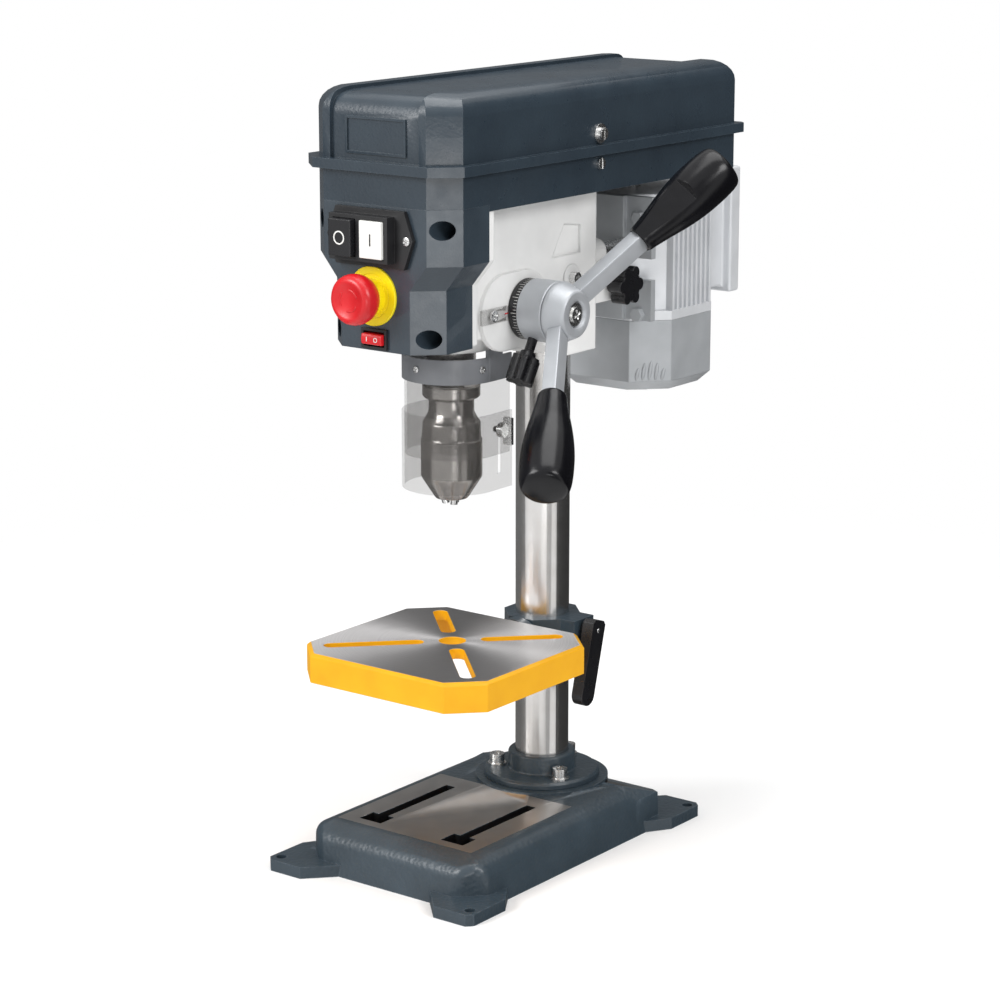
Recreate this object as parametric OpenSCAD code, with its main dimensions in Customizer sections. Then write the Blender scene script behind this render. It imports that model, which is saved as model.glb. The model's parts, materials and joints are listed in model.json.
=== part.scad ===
// Benchtop drill press, an assembly of separate pieces. Millimetres, +X right, +Y back, +Z up.
// The origin is the middle of the four bench-bolt holes, on the underside of the base.

/* [Base] */
// width over the feet
base_w = 214; // [208:1:230]
// length over the feet
base_l = 330; // [324:1:346]
// height of the base work face
base_h = 40; // [38:1:46]
// thickness of the feet
foot_t = 10; // [8:0.5:14]
// bench-bolt hole diameter
bench_hole_d = 9; // [7:0.5:11]
// T-slot width in the base
base_slot_w = 10; // [8:0.5:12]

/* [Column] */
// column diameter
column_d = 46; // [42:1:48]
// column wall
column_wall = 4; // [3:0.5:6]
// distance from the spindle axis to the column axis
throat = 125; // [123:1:132]

/* [Table] */
// table width
table_w = 188; // [170:1:196]
// table length
table_l = 180; // [164:1:196]
// height of the table face with the table where the photo has it
table_z = 190; // [180:1:195]
// depth of the table skirt
table_t = 25; // [22:1:28]
// width of the table slots
table_slot_w = 12; // [9:0.5:14]
// hole under the spindle
table_hole_d = 22; // [16:1:26]

/* [Head] */
// width of the head casting
head_w = 100; // [98:1:108]
// height of the feed-shaft axis
hub_z = 469; // [450:1:500]
// quill diameter
quill_d = 40; // [39:0.5:41]
// quill stroke
stroke = 50; // [40:1:52]

/* [Feed] */
// rack and pinion module
gear_m = 1.25; // [1.2:0.01:1.3]
// teeth of the pinion
pinion_n = 16; // [16:1:17]
// outer diameter of the depth ring
ring_d = 50; // [46:1:52]
// length of a lever from the hub axis to its end
lever_l = 181; // [160:1:190]
// lean of the levers away from the head, degrees
lever_lean = 24.5; // [20:0.5:28]

/* [Chuck and guard] */
// chuck sleeve diameter
chuck_d = 50; // [48:0.5:51]
// inner radius of the chuck guard
guard_r = 36; // [35.5:0.5:37]

/* [Belt drive] */
// half width of the belt housing
belt_hw = 71.7; // [70:0.1:74]
// height of the belt cover above its lip
cover_h = 62; // [55:1:70]
// rim radius of the middle pulley step on the spindle
spindle_rim = 41; // [39:0.5:42]
// rim radius of the middle pulley step on the motor
motor_rim = 34; // [32:0.5:35]

/* [Motor] */
// width of the motor
motor_w = 121; // [118:1:126]
// distance from the column axis to the motor axis
motor_back = 128; // [126:1:130]

/* [Hidden] */
$fn = 64;
// radial clearance of a running fit
run = 0.05;
// gap between two pieces that do not touch
gap = 0.3;
// overlap of two shapes that make one solid
lap = 1;
cast_grey = [0.31, 0.36, 0.40];
shell_grey = [0.24, 0.26, 0.29];
head_white = [0.86, 0.87, 0.87];
table_yellow = [0.95, 0.75, 0.08];
steel = [0.70, 0.71, 0.73];
bright = [0.82, 0.83, 0.85];
black = [0.09, 0.09, 0.10];
red = [0.75, 0.08, 0.09];
clear = [0.75, 0.80, 0.84, 0.45];
rubber = [0.14, 0.14, 0.15];
alloy = [0.66, 0.68, 0.70];

column_y = 75;
spindle_y = column_y - throat;
column_r = column_d / 2;

// base
foot_x = base_w / 2;
foot_y = base_l / 2;
bolt_x = foot_x - 8;
bolt_y = foot_y - 10;
body_x = base_w / 2 - 13;
body_y = base_l / 2 - 23;
body_corner = 24;
work_x = body_x - 18;
work_y = body_y - 20;
ridge_y = column_y + 15;
rear_z = base_h - 16;
base_bevel = 10;
base_draft = 4;
base_wall = 9;
pocket_z = base_h - 20;
base_slot_x = 43;
base_slot_y0 = -107;
base_slot_y1 = 2;
base_slot_depth = 14;
slot_foot_w = base_slot_w + 8;
slot_foot_h = 6;
slot_head_w = base_slot_w + 13;
slot_head_l = 18;

// column flange
flange_z = base_h + 2;
flange_r = 50;
flange_t = 6;
flange_boss_r = 57.5;
collar_r = column_r + 6;
collar_z = flange_z + 22;
flange_pcd = 78;
bolt_r = 4;
lock_bolt_r = 3;
washer_r = 8;
washer_t = 1.6;
flange_bolt_depth = 15;

// table and bracket
table_x = table_w / 2;
table_y1 = column_y - 44.5;
table_y0 = table_y1 - table_l;
table_corner = 25;
table_edge = 2.5;
table_plate = 9;
table_skirt = 6;
slot_in = 30;
slot_out_front = table_l / 2 + 10;
slot_out_rear = 86;
tilt_z = table_z - table_t;
lug_r = 22;
lug_y = table_y1 + 2.5;
tilt_face_y = lug_y + gap;
tilt_bolt_r = 6;
bracket_r = column_r + 8;
bracket_z0 = tilt_z - 25;
bracket_z1 = tilt_z + 23;
arm_hw = 20;
clamp_z = tilt_z + 15;
clamp_boss_r = 11;
clamp_boss_x = bracket_r + 13;
clamp_stud_r = 5;
clamp_hub_r = 7;
clamp_hub_x = clamp_boss_x + gap + 1.5;
clamp_arm_x = clamp_hub_x + 2.5;
clamp_arm_t = 11;
clamp_arm_hw = 9;
clamp_arm_l = 56;
clamp_arm_top = 8.5;
clamp_lean = 15;
clamp_lug_hw = 14;

// head casting
head_hw = head_w / 2;
head_front = spindle_y - 43;
head_rear = column_y + 5;
head_top = hub_z + 87;
column_top = head_top - 16;
head_step_z = hub_z - 28;
head_low_z = hub_z - 48;
head_collar_r = column_r + 13;
quill_boss_r = 33;
quill_boss_z = hub_z - 33;
pad_t = 3.5;
pad_r = 31;
pad_x = head_hw + pad_t;
panel_t = 2;
clamp_bolt_y = column_y - column_r - 7;
clamp_bolt_z = hub_z + 16;
clamp_lug_t = 1;

// front cover
face_y = head_front - 52;
cover_z0 = hub_z - 22;
cover_z1 = head_top + 5;
upper_hw = belt_hw;
lower_hw = belt_hw - 16.7;
bevel_x = 20.7;
bevel_y = 19.4;
step_z0 = hub_z + 28;
step_z1 = hub_z + 48;
shell_t = 3;
screw_up = [belt_hw - 11.7, cover_z1 - 16];
screw_low = [belt_hw - 26.7, cover_z0 + 12];
recess_r = 7.5;
recess_floor_y = head_front - 12;
cover_screw_r = 2.5;
cover_head_r = 4.5;

// quill, spindle and feed
quill_r = quill_d / 2;
quill_z0 = hub_z - 51;
quill_z1 = hub_z + 61;
bearing_h = 11;
quill_bearing_r = 15;
spindle_r = 8.5;
spline_r = 7.5;
sleeve_r = 12;
sleeve_bearing_r = 21;
sleeve_seat_z = head_top - 2 * bearing_h;
sleeve_z0 = sleeve_seat_z - 1.5;
rack_y = quill_r - 1.5;
pinion_r = gear_m * pinion_n / 2;
hub_y = spindle_y + rack_y + pinion_r;
rack_pitch = PI * gear_m;
backlash = 0.25;
dedendum = 1.25 * gear_m;
pinion_hw = 11;
feed_r = 8;
bush_r = pinion_r + gear_m + 1;
bush_x = 24;
cap_r = 27;
cap_x = pad_x + 20;
cap_wall = 3;

// depth ring and hub
ring_r = ring_d / 2;
hub_sleeve_r = 14;
scale_x = pad_x + 0.8;
scale_t = 8;
ring_x0 = scale_x + scale_t;
ring_x1 = ring_x0 + 23.4;
hub_x0 = ring_x1 + gap;
hub_rim_x = hub_x0 + 3;
hub_x1 = hub_rim_x + 15;
hub_nose_r = ring_r - 7;
hub_recess_r = 11;
hub_recess_t = 5;
lever_x = hub_x0 + 0.6;
lever_angles = [42.7, 222.7];
bar_s0 = 13;
bar_w = 16;
bar_t = 12;
bar_edge = 3;
grip_s = 87;
grip_hold = 40;
grip_r = 21;
depth_knob_angle = 239.5;
depth_knob_x = (ring_x0 + ring_x1) / 2 - 4;
depth_screw_r = 4;
depth_knob_s = ring_r + 11;
depth_knob_l = 26;
depth_knob_r = 12;
pointer_y0 = hub_y - 60;
pointer_y1 = hub_y - ring_r - 1;
pointer_hw = 6;

// chuck, heights from the jaw tips up
jaw_tip_z = hub_z - 162.3;
nose_z = jaw_tip_z + 5.1;
cone_z = jaw_tip_z + 22.6;
seam_z = jaw_tip_z + 45.9;
chuck_collar_z = jaw_tip_z + 70;
chuck_neck_z = jaw_tip_z + 88.6;
chuck_top_z = jaw_tip_z + 99.7;
chuck_r = chuck_d / 2;
chuck_nose_r = 13;
core_r = chuck_r - 5;
core_nose_r = 11;
jaw_r = 3;
jaw_lean = 16;
jaw_tip_r = 4.6;
jaw_l = 34;
jaw_travel = 8;
shank_hole_r = 6.8;
taper_z = chuck_top_z - 26;
taper_r0 = 7.2;
taper_r1 = 8;

// guard
guard_t = 2;
guard_out_r = guard_r + guard_t;
band_z0 = hub_z - 57;
band_z1 = hub_z - 37;
shield_z0 = hub_z - 119;
slider_z0 = hub_z - 147;
slider_z1 = hub_z - 84;
slider_r = guard_out_r + gap;
guard_back = 28;
wing_z = hub_z - 98;
wing_y = spindle_y + 12;
wing_r = 2.5;
wing_slot_z0 = hub_z - 134;
hinge_x = -guard_out_r - 8;
hinge_y = spindle_y + 24;
guard_pin_r = 3;
knuckle_r = 6;

// belt drive
belt_front = face_y;
belt_tail = 183;
belt_rear = column_y + belt_tail;
lip = 6;
lip_z = head_top + 30;
lip_h = 8;
cover_top = lip_z + cover_h;
cover_round = 17;
rail_x = 44;
rail_t = 3;
belt_wall = 3;
floor_t = 4;
hinge_r = 4;
hinge_pin_r = 2;
lid_axis_x = -belt_hw - lip - 3.8;
lid_axis_z = lip_z - 3;
lid_hinge_s = 100;
lid_hinge_hl = 20;
lid_hinge_y = [column_y - lid_hinge_s, column_y + lid_hinge_s];
side_screw_y = column_y - 22;
step_h = 12.5;
step_n = 5;
step_dr = 7;
groove_d = 6;
groove_rim = 1.2;
groove_floor = 4.25;
pulley_z = head_top + 10;
belt_z = pulley_z + (step_n / 2) * step_h;
belt_back = 0.5;
belt_back_hh = 4.75;
belt_foot_hh = 2.15;
belt_depth = 4.6;
motor_y = column_y + motor_back;

// motor
motor_hw = motor_w / 2;
motor_front = motor_y - 51;
motor_rear = motor_y + 62;
motor_z0 = hub_z - 37;
motor_z1 = hub_z + 71;
motor_bevel = 26;
fin_t = 3;
fin_d = 4;
fin_n = 9;
stator_r = 48;
rotor_r = 28;
shaft_r = 7;
motor_bearing_r = 13;
fan_z0 = motor_z0 - 62;
fan_wall = 3;
bracket_y = motor_front - 11;
bracket_hw = 34.5;
ear_t = 6;
rod_x = column_r + 13;
rod_z = hub_z + 30;
rod_r = 6;
rod_front_y = column_y - 33;
rod_boss_r = 10.5;
rod_boss_y = column_y + 25;
tension_travel = 10;
tongue_x = rod_x - 6;
tongue_t = 6;
tongue_hh = 8;
tongue_y = column_y + 20;
lock_y1 = column_y + 50;
lock_z = hub_z + 2;
lock_hh = 13;
lock_x1 = head_hw - 2;
knob_y = column_y + 36;
knob_r = 17;
knob_h = 17;
knob_flange_r = 9;
knob_screw_r = 4;
box_y0 = motor_rear;
box_y1 = motor_rear + 23;
box_hw = 39;
box_z0 = motor_z0 + 13;
box_z1 = motor_z1 + 6;
box_lid_t = 15;
box_lid_hw = 48;

// switch gear
plate_x = -2;
plate_z = hub_z + 67;
plate_hw = 42.5;
plate_flat = 34;
plate_hh = 22.5;
plate_t = 4;
button_x = -6;
button_pitch = 28;
button_w = 22;
button_h = 29;
frame_hw = 29;
frame_hh = 18;
frame_t = 13;
flange_over = 1.25;
body_back_y = face_y + 5.2;
estop_x = -2;
estop_z = hub_z + 21;
estop_disc_r = 23.5;
estop_collar_r = 14;
estop_r = 20;
estop_stem_r = 10;
estop_out = 31;
estop_cap_l = 18;
rocker_z = hub_z - 12.5;
rocker_w = 20;
rocker_r = 9;
rocker_hh = 4.2;
rocker_box_hw = 11.4;
rocker_box_hh = 6.2;
bezel_hw = 12.5;
bezel_hh = 8;

// Shapes shared by the pieces

module rod_along_x(r, x0, x1, y, z) translate([x0, y, z]) rotate([0, 90, 0]) cylinder(r = r, h = x1 - x0);
module rod_along_y(r, y0, y1, x, z) translate([x, y0, z]) rotate([-90, 0, 0]) cylinder(r = r, h = y1 - y0);
module rod_along_z(r, z0, z1, x, y) translate([x, y, z0]) cylinder(r = r, h = z1 - z0);
module block(x, y, z) translate([x[0], y[0], z[0]]) cube([x[1] - x[0], y[1] - y[0], z[1] - z[0]]);
// carries an outline drawn in (Y, Z) along X
module along_x(x0, x1) translate([x0, 0, 0]) rotate([90, 0, 90]) linear_extrude(x1 - x0) children();
// carries an outline drawn in (X, Z) along Y
module along_y(y0, y1) translate([0, y1, 0]) rotate([90, 0, 0]) linear_extrude(y1 - y0) children();
module ring(r0, r1, h) difference() {
  cylinder(r = r1, h = h);
  translate([0, 0, -lap]) cylinder(r = r0, h = h + 2 * lap);
}
module both_sides() {
  children();
  mirror([1, 0, 0]) children();
}
module star(r) {
  circle(r = 0.74 * r);
  for (k = [0:5]) rotate(60 * k) translate([0.7 * r, 0]) circle(r = 0.3 * r);
}
module octagon(x, y, c) polygon([[-x + c, -y], [x - c, -y], [x, -y + c], [x, y - c],
  [x - c, y], [-x + c, y], [-x, y - c], [-x, -y + c]]);

// Base and column

module foot() linear_extrude(foot_t) polygon([[body_x - 47, body_y - lap], [body_x - 24, foot_y],
  [foot_x - 5, foot_y], [foot_x, foot_y - 5], [foot_x, foot_y - 46], [body_x - lap, body_y - 45],
  [body_x - 30, body_y - 40]]);
module base_blank() intersection() {
  linear_extrude(base_h) octagon(body_x, body_y, body_corner);
  along_y(-foot_y, foot_y) polygon([[-body_x, 0], [body_x, 0], [body_x - base_draft, base_h - base_bevel],
    [work_x, base_h], [-work_x, base_h], [-body_x + base_draft, base_h - base_bevel]]);
  along_x(-foot_x, foot_x) polygon([[-body_y, 0], [body_y, 0], [body_y - base_draft, rear_z],
    [ridge_y, base_h], [-work_y, base_h], [-body_y + base_draft, base_h - base_bevel]]);
}
module base_slot() {
  block([base_slot_x - base_slot_w / 2, base_slot_x + base_slot_w / 2], [base_slot_y0, base_slot_y1],
    [base_h - base_slot_depth, base_h + lap]);
  block([base_slot_x - slot_foot_w / 2, base_slot_x + slot_foot_w / 2], [base_slot_y0, base_slot_y1],
    [base_h - base_slot_depth, base_h - base_slot_depth + slot_foot_h]);
  block([base_slot_x - slot_head_w / 2, base_slot_x + slot_head_w / 2],
    [base_slot_y0, base_slot_y0 + slot_head_l], [base_h - base_slot_depth, base_h + lap]);
}
module at_flange_bolts() for (a = [90, 210, 330])
  translate([flange_pcd / 2 * cos(a), column_y + flange_pcd / 2 * sin(a), 0]) children();
module base_casting() color(cast_grey) difference() {
  union() {
    base_blank();
    for (sx = [0, 1], sy = [0, 1]) mirror([sx, 0, 0]) mirror([0, sy, 0]) foot();
    rod_along_z(flange_boss_r, pocket_z, flange_z, 0, column_y);
  }
  translate([0, 0, -lap]) linear_extrude(pocket_z + lap)
    octagon(body_x - base_wall, body_y - base_wall, body_corner);
  both_sides() base_slot();
  for (sx = [-1, 1], sy = [-1, 1])
    rod_along_z(bench_hole_d / 2, -lap, foot_t + lap, sx * bolt_x, sy * bolt_y);
  at_flange_bolts() rod_along_z(bolt_r + run, flange_z - flange_bolt_depth - lap, flange_z + lap, 0, 0);
}
module column_flange() color(cast_grey) difference() {
  translate([0, column_y, flange_z]) rotate_extrude() polygon([[column_r, 0], [flange_r, 0],
    [flange_r, flange_t - 2], [flange_r - 2, flange_t], [collar_r + 1, flange_t], [collar_r, flange_t + 1],
    [collar_r, collar_z - flange_z - 1.5], [collar_r - 1.5, collar_z - flange_z],
    [column_r, collar_z - flange_z]]);
  at_flange_bolts() rod_along_z(bolt_r + run, flange_z - lap, flange_z + flange_t + lap, 0, 0);
}
// a socket-head bolt whose head seats on z = 0
module socket_bolt(r, l) difference() {
  union() {
    rod_along_z(r, -l, lap, 0, 0);
    rod_along_z(1.6 * r, 0, 2 * r, 0, 0);
  }
  translate([0, 0, r]) cylinder(r = 0.85 * r, h = 2 * r, $fn = 6);
}
module socket_bolts() color(black) {
  at_flange_bolts() translate([0, 0, flange_z + flange_t + washer_t])
    socket_bolt(bolt_r, flange_t + washer_t + flange_bolt_depth);
  translate([head_hw + clamp_lug_t, clamp_bolt_y, clamp_bolt_z]) rotate([0, 90, 0])
    socket_bolt(lock_bolt_r, head_hw + clamp_lug_t + 34);
}
module flange_washers() color(bright) at_flange_bolts()
  translate([0, 0, flange_z + flange_t]) ring(bolt_r + run, washer_r, washer_t);
module column() color(steel) translate([0, column_y, flange_z])
  ring(column_r - column_wall, column_r, column_top - flange_z);

// Table

module table_outline(i) translate([0, (table_y0 + table_y1) / 2])
  octagon(table_x - i, table_l / 2 - i, table_corner);
module table_slots() for (k = [0:3]) {
  out = k < 2 ? slot_out_rear : slot_out_front;
  translate([0, spindle_y]) rotate(45 + 90 * k) {
    translate([slot_in, 0]) circle(d = table_slot_w);
    translate([slot_in, -table_slot_w / 2]) square([out - slot_in, table_slot_w]);
    translate([out, 0]) circle(d = table_slot_w);
  }
}
module table_top() color(table_yellow) difference() {
  union() {
    difference() {
      union() {
        translate([0, 0, tilt_z]) linear_extrude(table_t - table_edge) table_outline(0);
        hull() {
          translate([0, 0, table_z - table_edge - 0.1]) linear_extrude(0.1) table_outline(0);
          translate([0, 0, table_z - 0.1]) linear_extrude(0.1) table_outline(table_edge);
        }
      }
      translate([0, 0, tilt_z - lap]) linear_extrude(table_t - table_plate + lap) table_outline(table_skirt);
    }
    rod_along_y(lug_r, table_y1 - table_skirt - 8, lug_y, 0, tilt_z);
  }
  rod_along_z(table_hole_d / 2, tilt_z - lap, table_z + lap, 0, spindle_y);
  translate([0, 0, tilt_z - lap]) linear_extrude(table_t + 2 * lap) table_slots();
  rod_along_y(tilt_bolt_r + run, table_y1 - table_skirt - 10, lug_y + lap, 0, tilt_z);
}
module table_bracket() color(cast_grey) difference() {
  union() {
    translate([0, column_y, bracket_z0]) linear_extrude(bracket_z1 - bracket_z0)
      octagon(bracket_r, bracket_r, bracket_r * (1 - tan(22.5)));
    block([-arm_hw, arm_hw], [tilt_face_y + 6, column_y], [bracket_z0 + 4, tilt_z + 15]);
    rod_along_y(lug_r + 2, tilt_face_y, tilt_face_y + 9, 0, tilt_z);
    block([column_r + 2, clamp_boss_x], [column_y - clamp_lug_hw, column_y + clamp_lug_hw],
      [bracket_z0 + 6, bracket_z1]);
  }
  rod_along_z(column_r + run, bracket_z0 - lap, bracket_z1 + lap, 0, column_y);
  rod_along_x(clamp_stud_r + run, column_r - lap, clamp_boss_x + lap, column_y, clamp_z);
  rod_along_y(tilt_bolt_r, tilt_face_y - lap, tilt_face_y + 14, 0, tilt_z);
}
module tilt_bolt() color(bright) {
  rod_along_y(tilt_bolt_r, table_y1 - table_skirt - 9, tilt_face_y + 14, 0, tilt_z);
  translate([0, table_y1 - table_skirt - 16, tilt_z]) rotate([-90, 0, 0])
    cylinder(r = 1.6 * tilt_bolt_r, h = 7.7, $fn = 6);
}
module clamp_lever() color(black) {
  rod_along_x(clamp_stud_r, column_r + 0.5, clamp_hub_x + 2, column_y, clamp_z);
  translate([0, column_y, clamp_z]) rotate([-clamp_lean, 0, 0]) {
    rod_along_x(clamp_hub_r, clamp_hub_x, clamp_arm_x + lap, 0, 0);
    along_x(clamp_arm_x, clamp_arm_x + clamp_arm_t) {
      polygon([[-clamp_arm_hw + 3, clamp_arm_top], [clamp_arm_hw - 3, clamp_arm_top],
        [clamp_arm_hw, clamp_arm_top - 3], [clamp_arm_hw, -clamp_arm_l], [-clamp_arm_hw, -clamp_arm_l],
        [-clamp_arm_hw, clamp_arm_top - 3]]);
      translate([0, -clamp_arm_l]) circle(r = clamp_arm_hw);
    }
  }
}

// Head casting

module front_outline(i) polygon([[-upper_hw + i, cover_z1 - i], [upper_hw - i, cover_z1 - i],
  [upper_hw - i, step_z1], [lower_hw - i, step_z0], [lower_hw - i, cover_z0 + i],
  [-lower_hw + i, cover_z0 + i], [-lower_hw + i, step_z0], [-upper_hw + i, step_z1]]);
module head_outline() polygon([[head_front, cover_z0 + 4], [spindle_y - 5, cover_z0 + 4],
  [spindle_y + 20, head_step_z], [hub_y + 15, head_step_z], [hub_y + 60, head_low_z], [head_rear, head_low_z],
  [head_rear, head_top], [head_front, head_top]]);
module at_cover_screws() both_sides() for (s = [screw_up, screw_low]) translate([s[0], 0, s[1]]) children();
module head_casting() color(head_white) difference() {
  union() {
    along_x(-head_hw, head_hw) head_outline();
    intersection() {
      along_y(head_front, head_front + 8) front_outline(1.5);
      block([-belt_hw, belt_hw], [head_front - lap, head_front + 9], [cover_z0, head_top]);
    }
    rod_along_z(head_collar_r, head_low_z - 2, head_top, 0, column_y);
    rod_along_z(quill_boss_r, quill_boss_z, head_top - lap, 0, spindle_y);
    hull() for (y = [hub_y - 27, hub_y]) rod_along_x(pad_r, head_hw - lap, pad_x, y, hub_z, $fn = 48);
    rod_along_x(cap_r + 0.8, -pad_x, -head_hw + lap, hub_y, hub_z);
    rod_along_x(clamp_boss_r, head_hw - lap, head_hw + clamp_lug_t, clamp_bolt_y, clamp_bolt_z);
    both_sides() rod_along_y(rod_boss_r, column_y, rod_boss_y, rod_x, rod_z);
    block([column_r + 1, lock_x1], [head_rear - lap, lock_y1], [lock_z - lock_hh, lock_z + lock_hh]);
  }
  rod_along_z(column_r + run, head_low_z - 3, column_top + 1, 0, column_y);
  rod_along_z(quill_r + run, quill_boss_z - lap, head_top + lap, 0, spindle_y);
  rod_along_z(sleeve_bearing_r, sleeve_seat_z, head_top + lap, 0, spindle_y);
  rod_along_x(feed_r + run, -pad_x - lap, pad_x + lap, hub_y, hub_z);
  rod_along_x(bush_r, -bush_x, pad_x + lap, hub_y, hub_z);
  block([-24, 24], [hub_y + 18, column_y - column_r - 16], [head_low_z - lap, head_top - 14]);
  both_sides() along_x(head_hw - panel_t, head_hw + lap) polygon([[hub_y + 57, hub_z + 61],
    [hub_y + 79, hub_z + 58], [hub_y + 79, hub_z + 35], [hub_y + 40, hub_z + 35]]);
  rod_along_x(lock_bolt_r + run, -36, head_hw + clamp_lug_t + lap, clamp_bolt_y, clamp_bolt_z);
  both_sides() rod_along_y(rod_r + run, rod_front_y - tension_travel - 2, rod_boss_y + lap, rod_x, rod_z);
  block([tongue_x - gap, tongue_x + tongue_t + gap], [tongue_y - tension_travel - 5, lock_y1 + lap],
    [lock_z - tongue_hh - gap, lock_z + tongue_hh + gap]);
  rod_along_x(knob_screw_r + run, tongue_x, lock_x1 + lap, knob_y, lock_z);
  at_cover_screws() rod_along_y(cover_screw_r + run, head_front - lap, head_front + 9, 0, 0);
}

// Front cover and switch gear

module cover_plan(hw, i) polygon([[-hw + i, head_front + (i > 0 ? lap : 0)],
  [-hw + i, face_y + bevel_y + 0.4 * i], [-hw + bevel_x + 0.6 * i, face_y + i],
  [hw - bevel_x - 0.6 * i, face_y + i], [hw - i, face_y + bevel_y + 0.4 * i],
  [hw - i, head_front + (i > 0 ? lap : 0)]]);
module slice(z) translate([0, 0, z]) linear_extrude(0.1) children();
module cover_solid(i) {
  translate([0, 0, step_z1 - i]) linear_extrude(cover_z1 - step_z1) cover_plan(upper_hw, i);
  hull() {
    slice(step_z1 - i) cover_plan(upper_hw, i);
    slice(step_z0 - i) cover_plan(lower_hw, i);
  }
  translate([0, 0, cover_z0 + i]) linear_extrude(step_z0 - cover_z0 - 2 * i + 0.05) cover_plan(lower_hw, i);
}
module front_cover() color(shell_grey) difference() {
  union() {
    difference() {
      cover_solid(0);
      cover_solid(shell_t);
    }
    intersection() {
      cover_solid(0);
      at_cover_screws() rod_along_y(recess_r + 2.5, face_y, head_front, 0, 0);
    }
  }
  at_cover_screws() {
    rod_along_y(recess_r, face_y - lap, recess_floor_y, 0, 0);
    rod_along_y(cover_screw_r + run, recess_floor_y - lap, head_front + lap, 0, 0);
  }
  block([button_x - 32, button_x + 32], [face_y - lap, face_y + shell_t + lap], [plate_z - 18, plate_z + 18]);
  rod_along_y(estop_stem_r + 1, face_y - lap, face_y + shell_t + lap, estop_x, estop_z);
  block([-rocker_box_hw - gap, rocker_box_hw + gap], [face_y - lap, face_y + shell_t + lap],
    [rocker_z - rocker_box_hh - 0.2, rocker_z + rocker_box_hh + 0.2]);
}
module cover_screws() color(black) at_cover_screws() {
  rod_along_y(cover_screw_r, recess_floor_y - lap, head_front + 8, 0, 0);
  difference() {
    rod_along_y(cover_head_r, recess_floor_y - 5, recess_floor_y, 0, 0);
    translate([0, recess_floor_y - 6, 0]) rotate([-90, 0, 0]) cylinder(r = 2.3, h = 4, $fn = 6);
  }
}
module button_hole(x, over) block([x - button_w / 2 - over, x + button_w / 2 + over],
  [face_y - frame_t - lap, face_y + lap], [plate_z - button_h / 2 - over, plate_z + button_h / 2 + over]);
module switch_plate() color(black) difference() {
  union() {
    along_y(face_y - plate_t, face_y) polygon([[plate_x - plate_hw, plate_z],
      [plate_x - plate_flat, plate_z + plate_hh], [plate_x + plate_flat, plate_z + plate_hh],
      [plate_x + plate_hw, plate_z], [plate_x + plate_flat, plate_z - plate_hh],
      [plate_x - plate_flat, plate_z - plate_hh]]);
    block([button_x - frame_hw, button_x + frame_hw], [face_y - frame_t, face_y - lap],
      [plate_z - frame_hh, plate_z + frame_hh]);
  }
  for (s = [-1, 1]) button_hole(button_x + s * button_pitch / 2, gap);
  for (s = [-1, 1]) rod_along_y(2.2, face_y - plate_t - lap, face_y + lap, plate_x + s * 37, plate_z);
}
module switch_body() {
  block([button_x - 31, button_x + 31], [body_back_y, body_back_y + 28], [plate_z - 17.5, plate_z + 17.5]);
  for (s = [-1, 1]) block([button_x + s * 29 - 2, button_x + s * 29 + 2], [face_y, body_back_y + lap],
    [plate_z - 17, plate_z + 17]);
}
module button(x, out) {
  block([x - button_w / 2, x + button_w / 2], [face_y - out, face_y + 1],
    [plate_z - button_h / 2, plate_z + button_h / 2]);
  block([x - button_w / 2 - flange_over, x + button_w / 2 + flange_over], [face_y + gap, face_y + 1.8],
    [plate_z - button_h / 2 - flange_over, plate_z + button_h / 2 + flange_over]);
}
module off_button() color(black) button(button_x - button_pitch / 2, 19);
module on_button() color(bright) button(button_x + button_pitch / 2, 15.5);
module estop_disc() color(table_yellow) translate([estop_x, face_y, estop_z]) rotate([90, 0, 0]) {
  ring(estop_stem_r + run, estop_disc_r, 2);
  ring(estop_stem_r + run, estop_collar_r, 9);
}
module estop_button() color(red) translate([estop_x, face_y, estop_z]) rotate([90, 0, 0]) difference() {
  rotate_extrude() polygon([[0, -9], [estop_stem_r, -9], [estop_stem_r, estop_out - estop_cap_l],
    [estop_r - 3, estop_out - estop_cap_l], [estop_r - 0.8, estop_out - estop_cap_l + 4],
    [estop_r, estop_out - 7], [estop_r - 0.6, estop_out - 3.4], [estop_r - 2.2, estop_out - 1],
    [estop_r - 4.5, estop_out], [estop_r - 6, estop_out], [estop_r - 7, estop_out - 0.8],
    [0, estop_out - 0.8]]);
}
module rocker_frame() difference() {
  union() {
    block([-bezel_hw, bezel_hw], [face_y - 2.5, face_y], [rocker_z - bezel_hh, rocker_z + bezel_hh]);
    block([-rocker_box_hw, rocker_box_hw], [face_y - lap, face_y + 20],
      [rocker_z - rocker_box_hh, rocker_z + rocker_box_hh]);
  }
  block([-rocker_w / 2 - gap, rocker_w / 2 + gap], [face_y - 4, face_y + 14],
    [rocker_z - rocker_box_hh + 0.2, rocker_z + rocker_box_hh - 0.2]);
}
module estop_block() translate([estop_x, face_y + shell_t, estop_z]) rotate([-90, 0, 0]) {
  ring(estop_stem_r + run, estop_stem_r + 3, 13);
  translate([0, 0, 12]) cylinder(r = 15, h = 22);
}
module control_blocks() color(black) {
  switch_body();
  estop_block();
  rocker_frame();
}
module rocker() color(red) intersection() {
  rod_along_x(rocker_r, -rocker_w / 2, rocker_w / 2, face_y + 3, rocker_z);
  block([-rocker_w, rocker_w], [face_y - 10, face_y + 8], [rocker_z - rocker_hh, rocker_z + rocker_hh]);
}

// Belt housing, cover and drive

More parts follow.
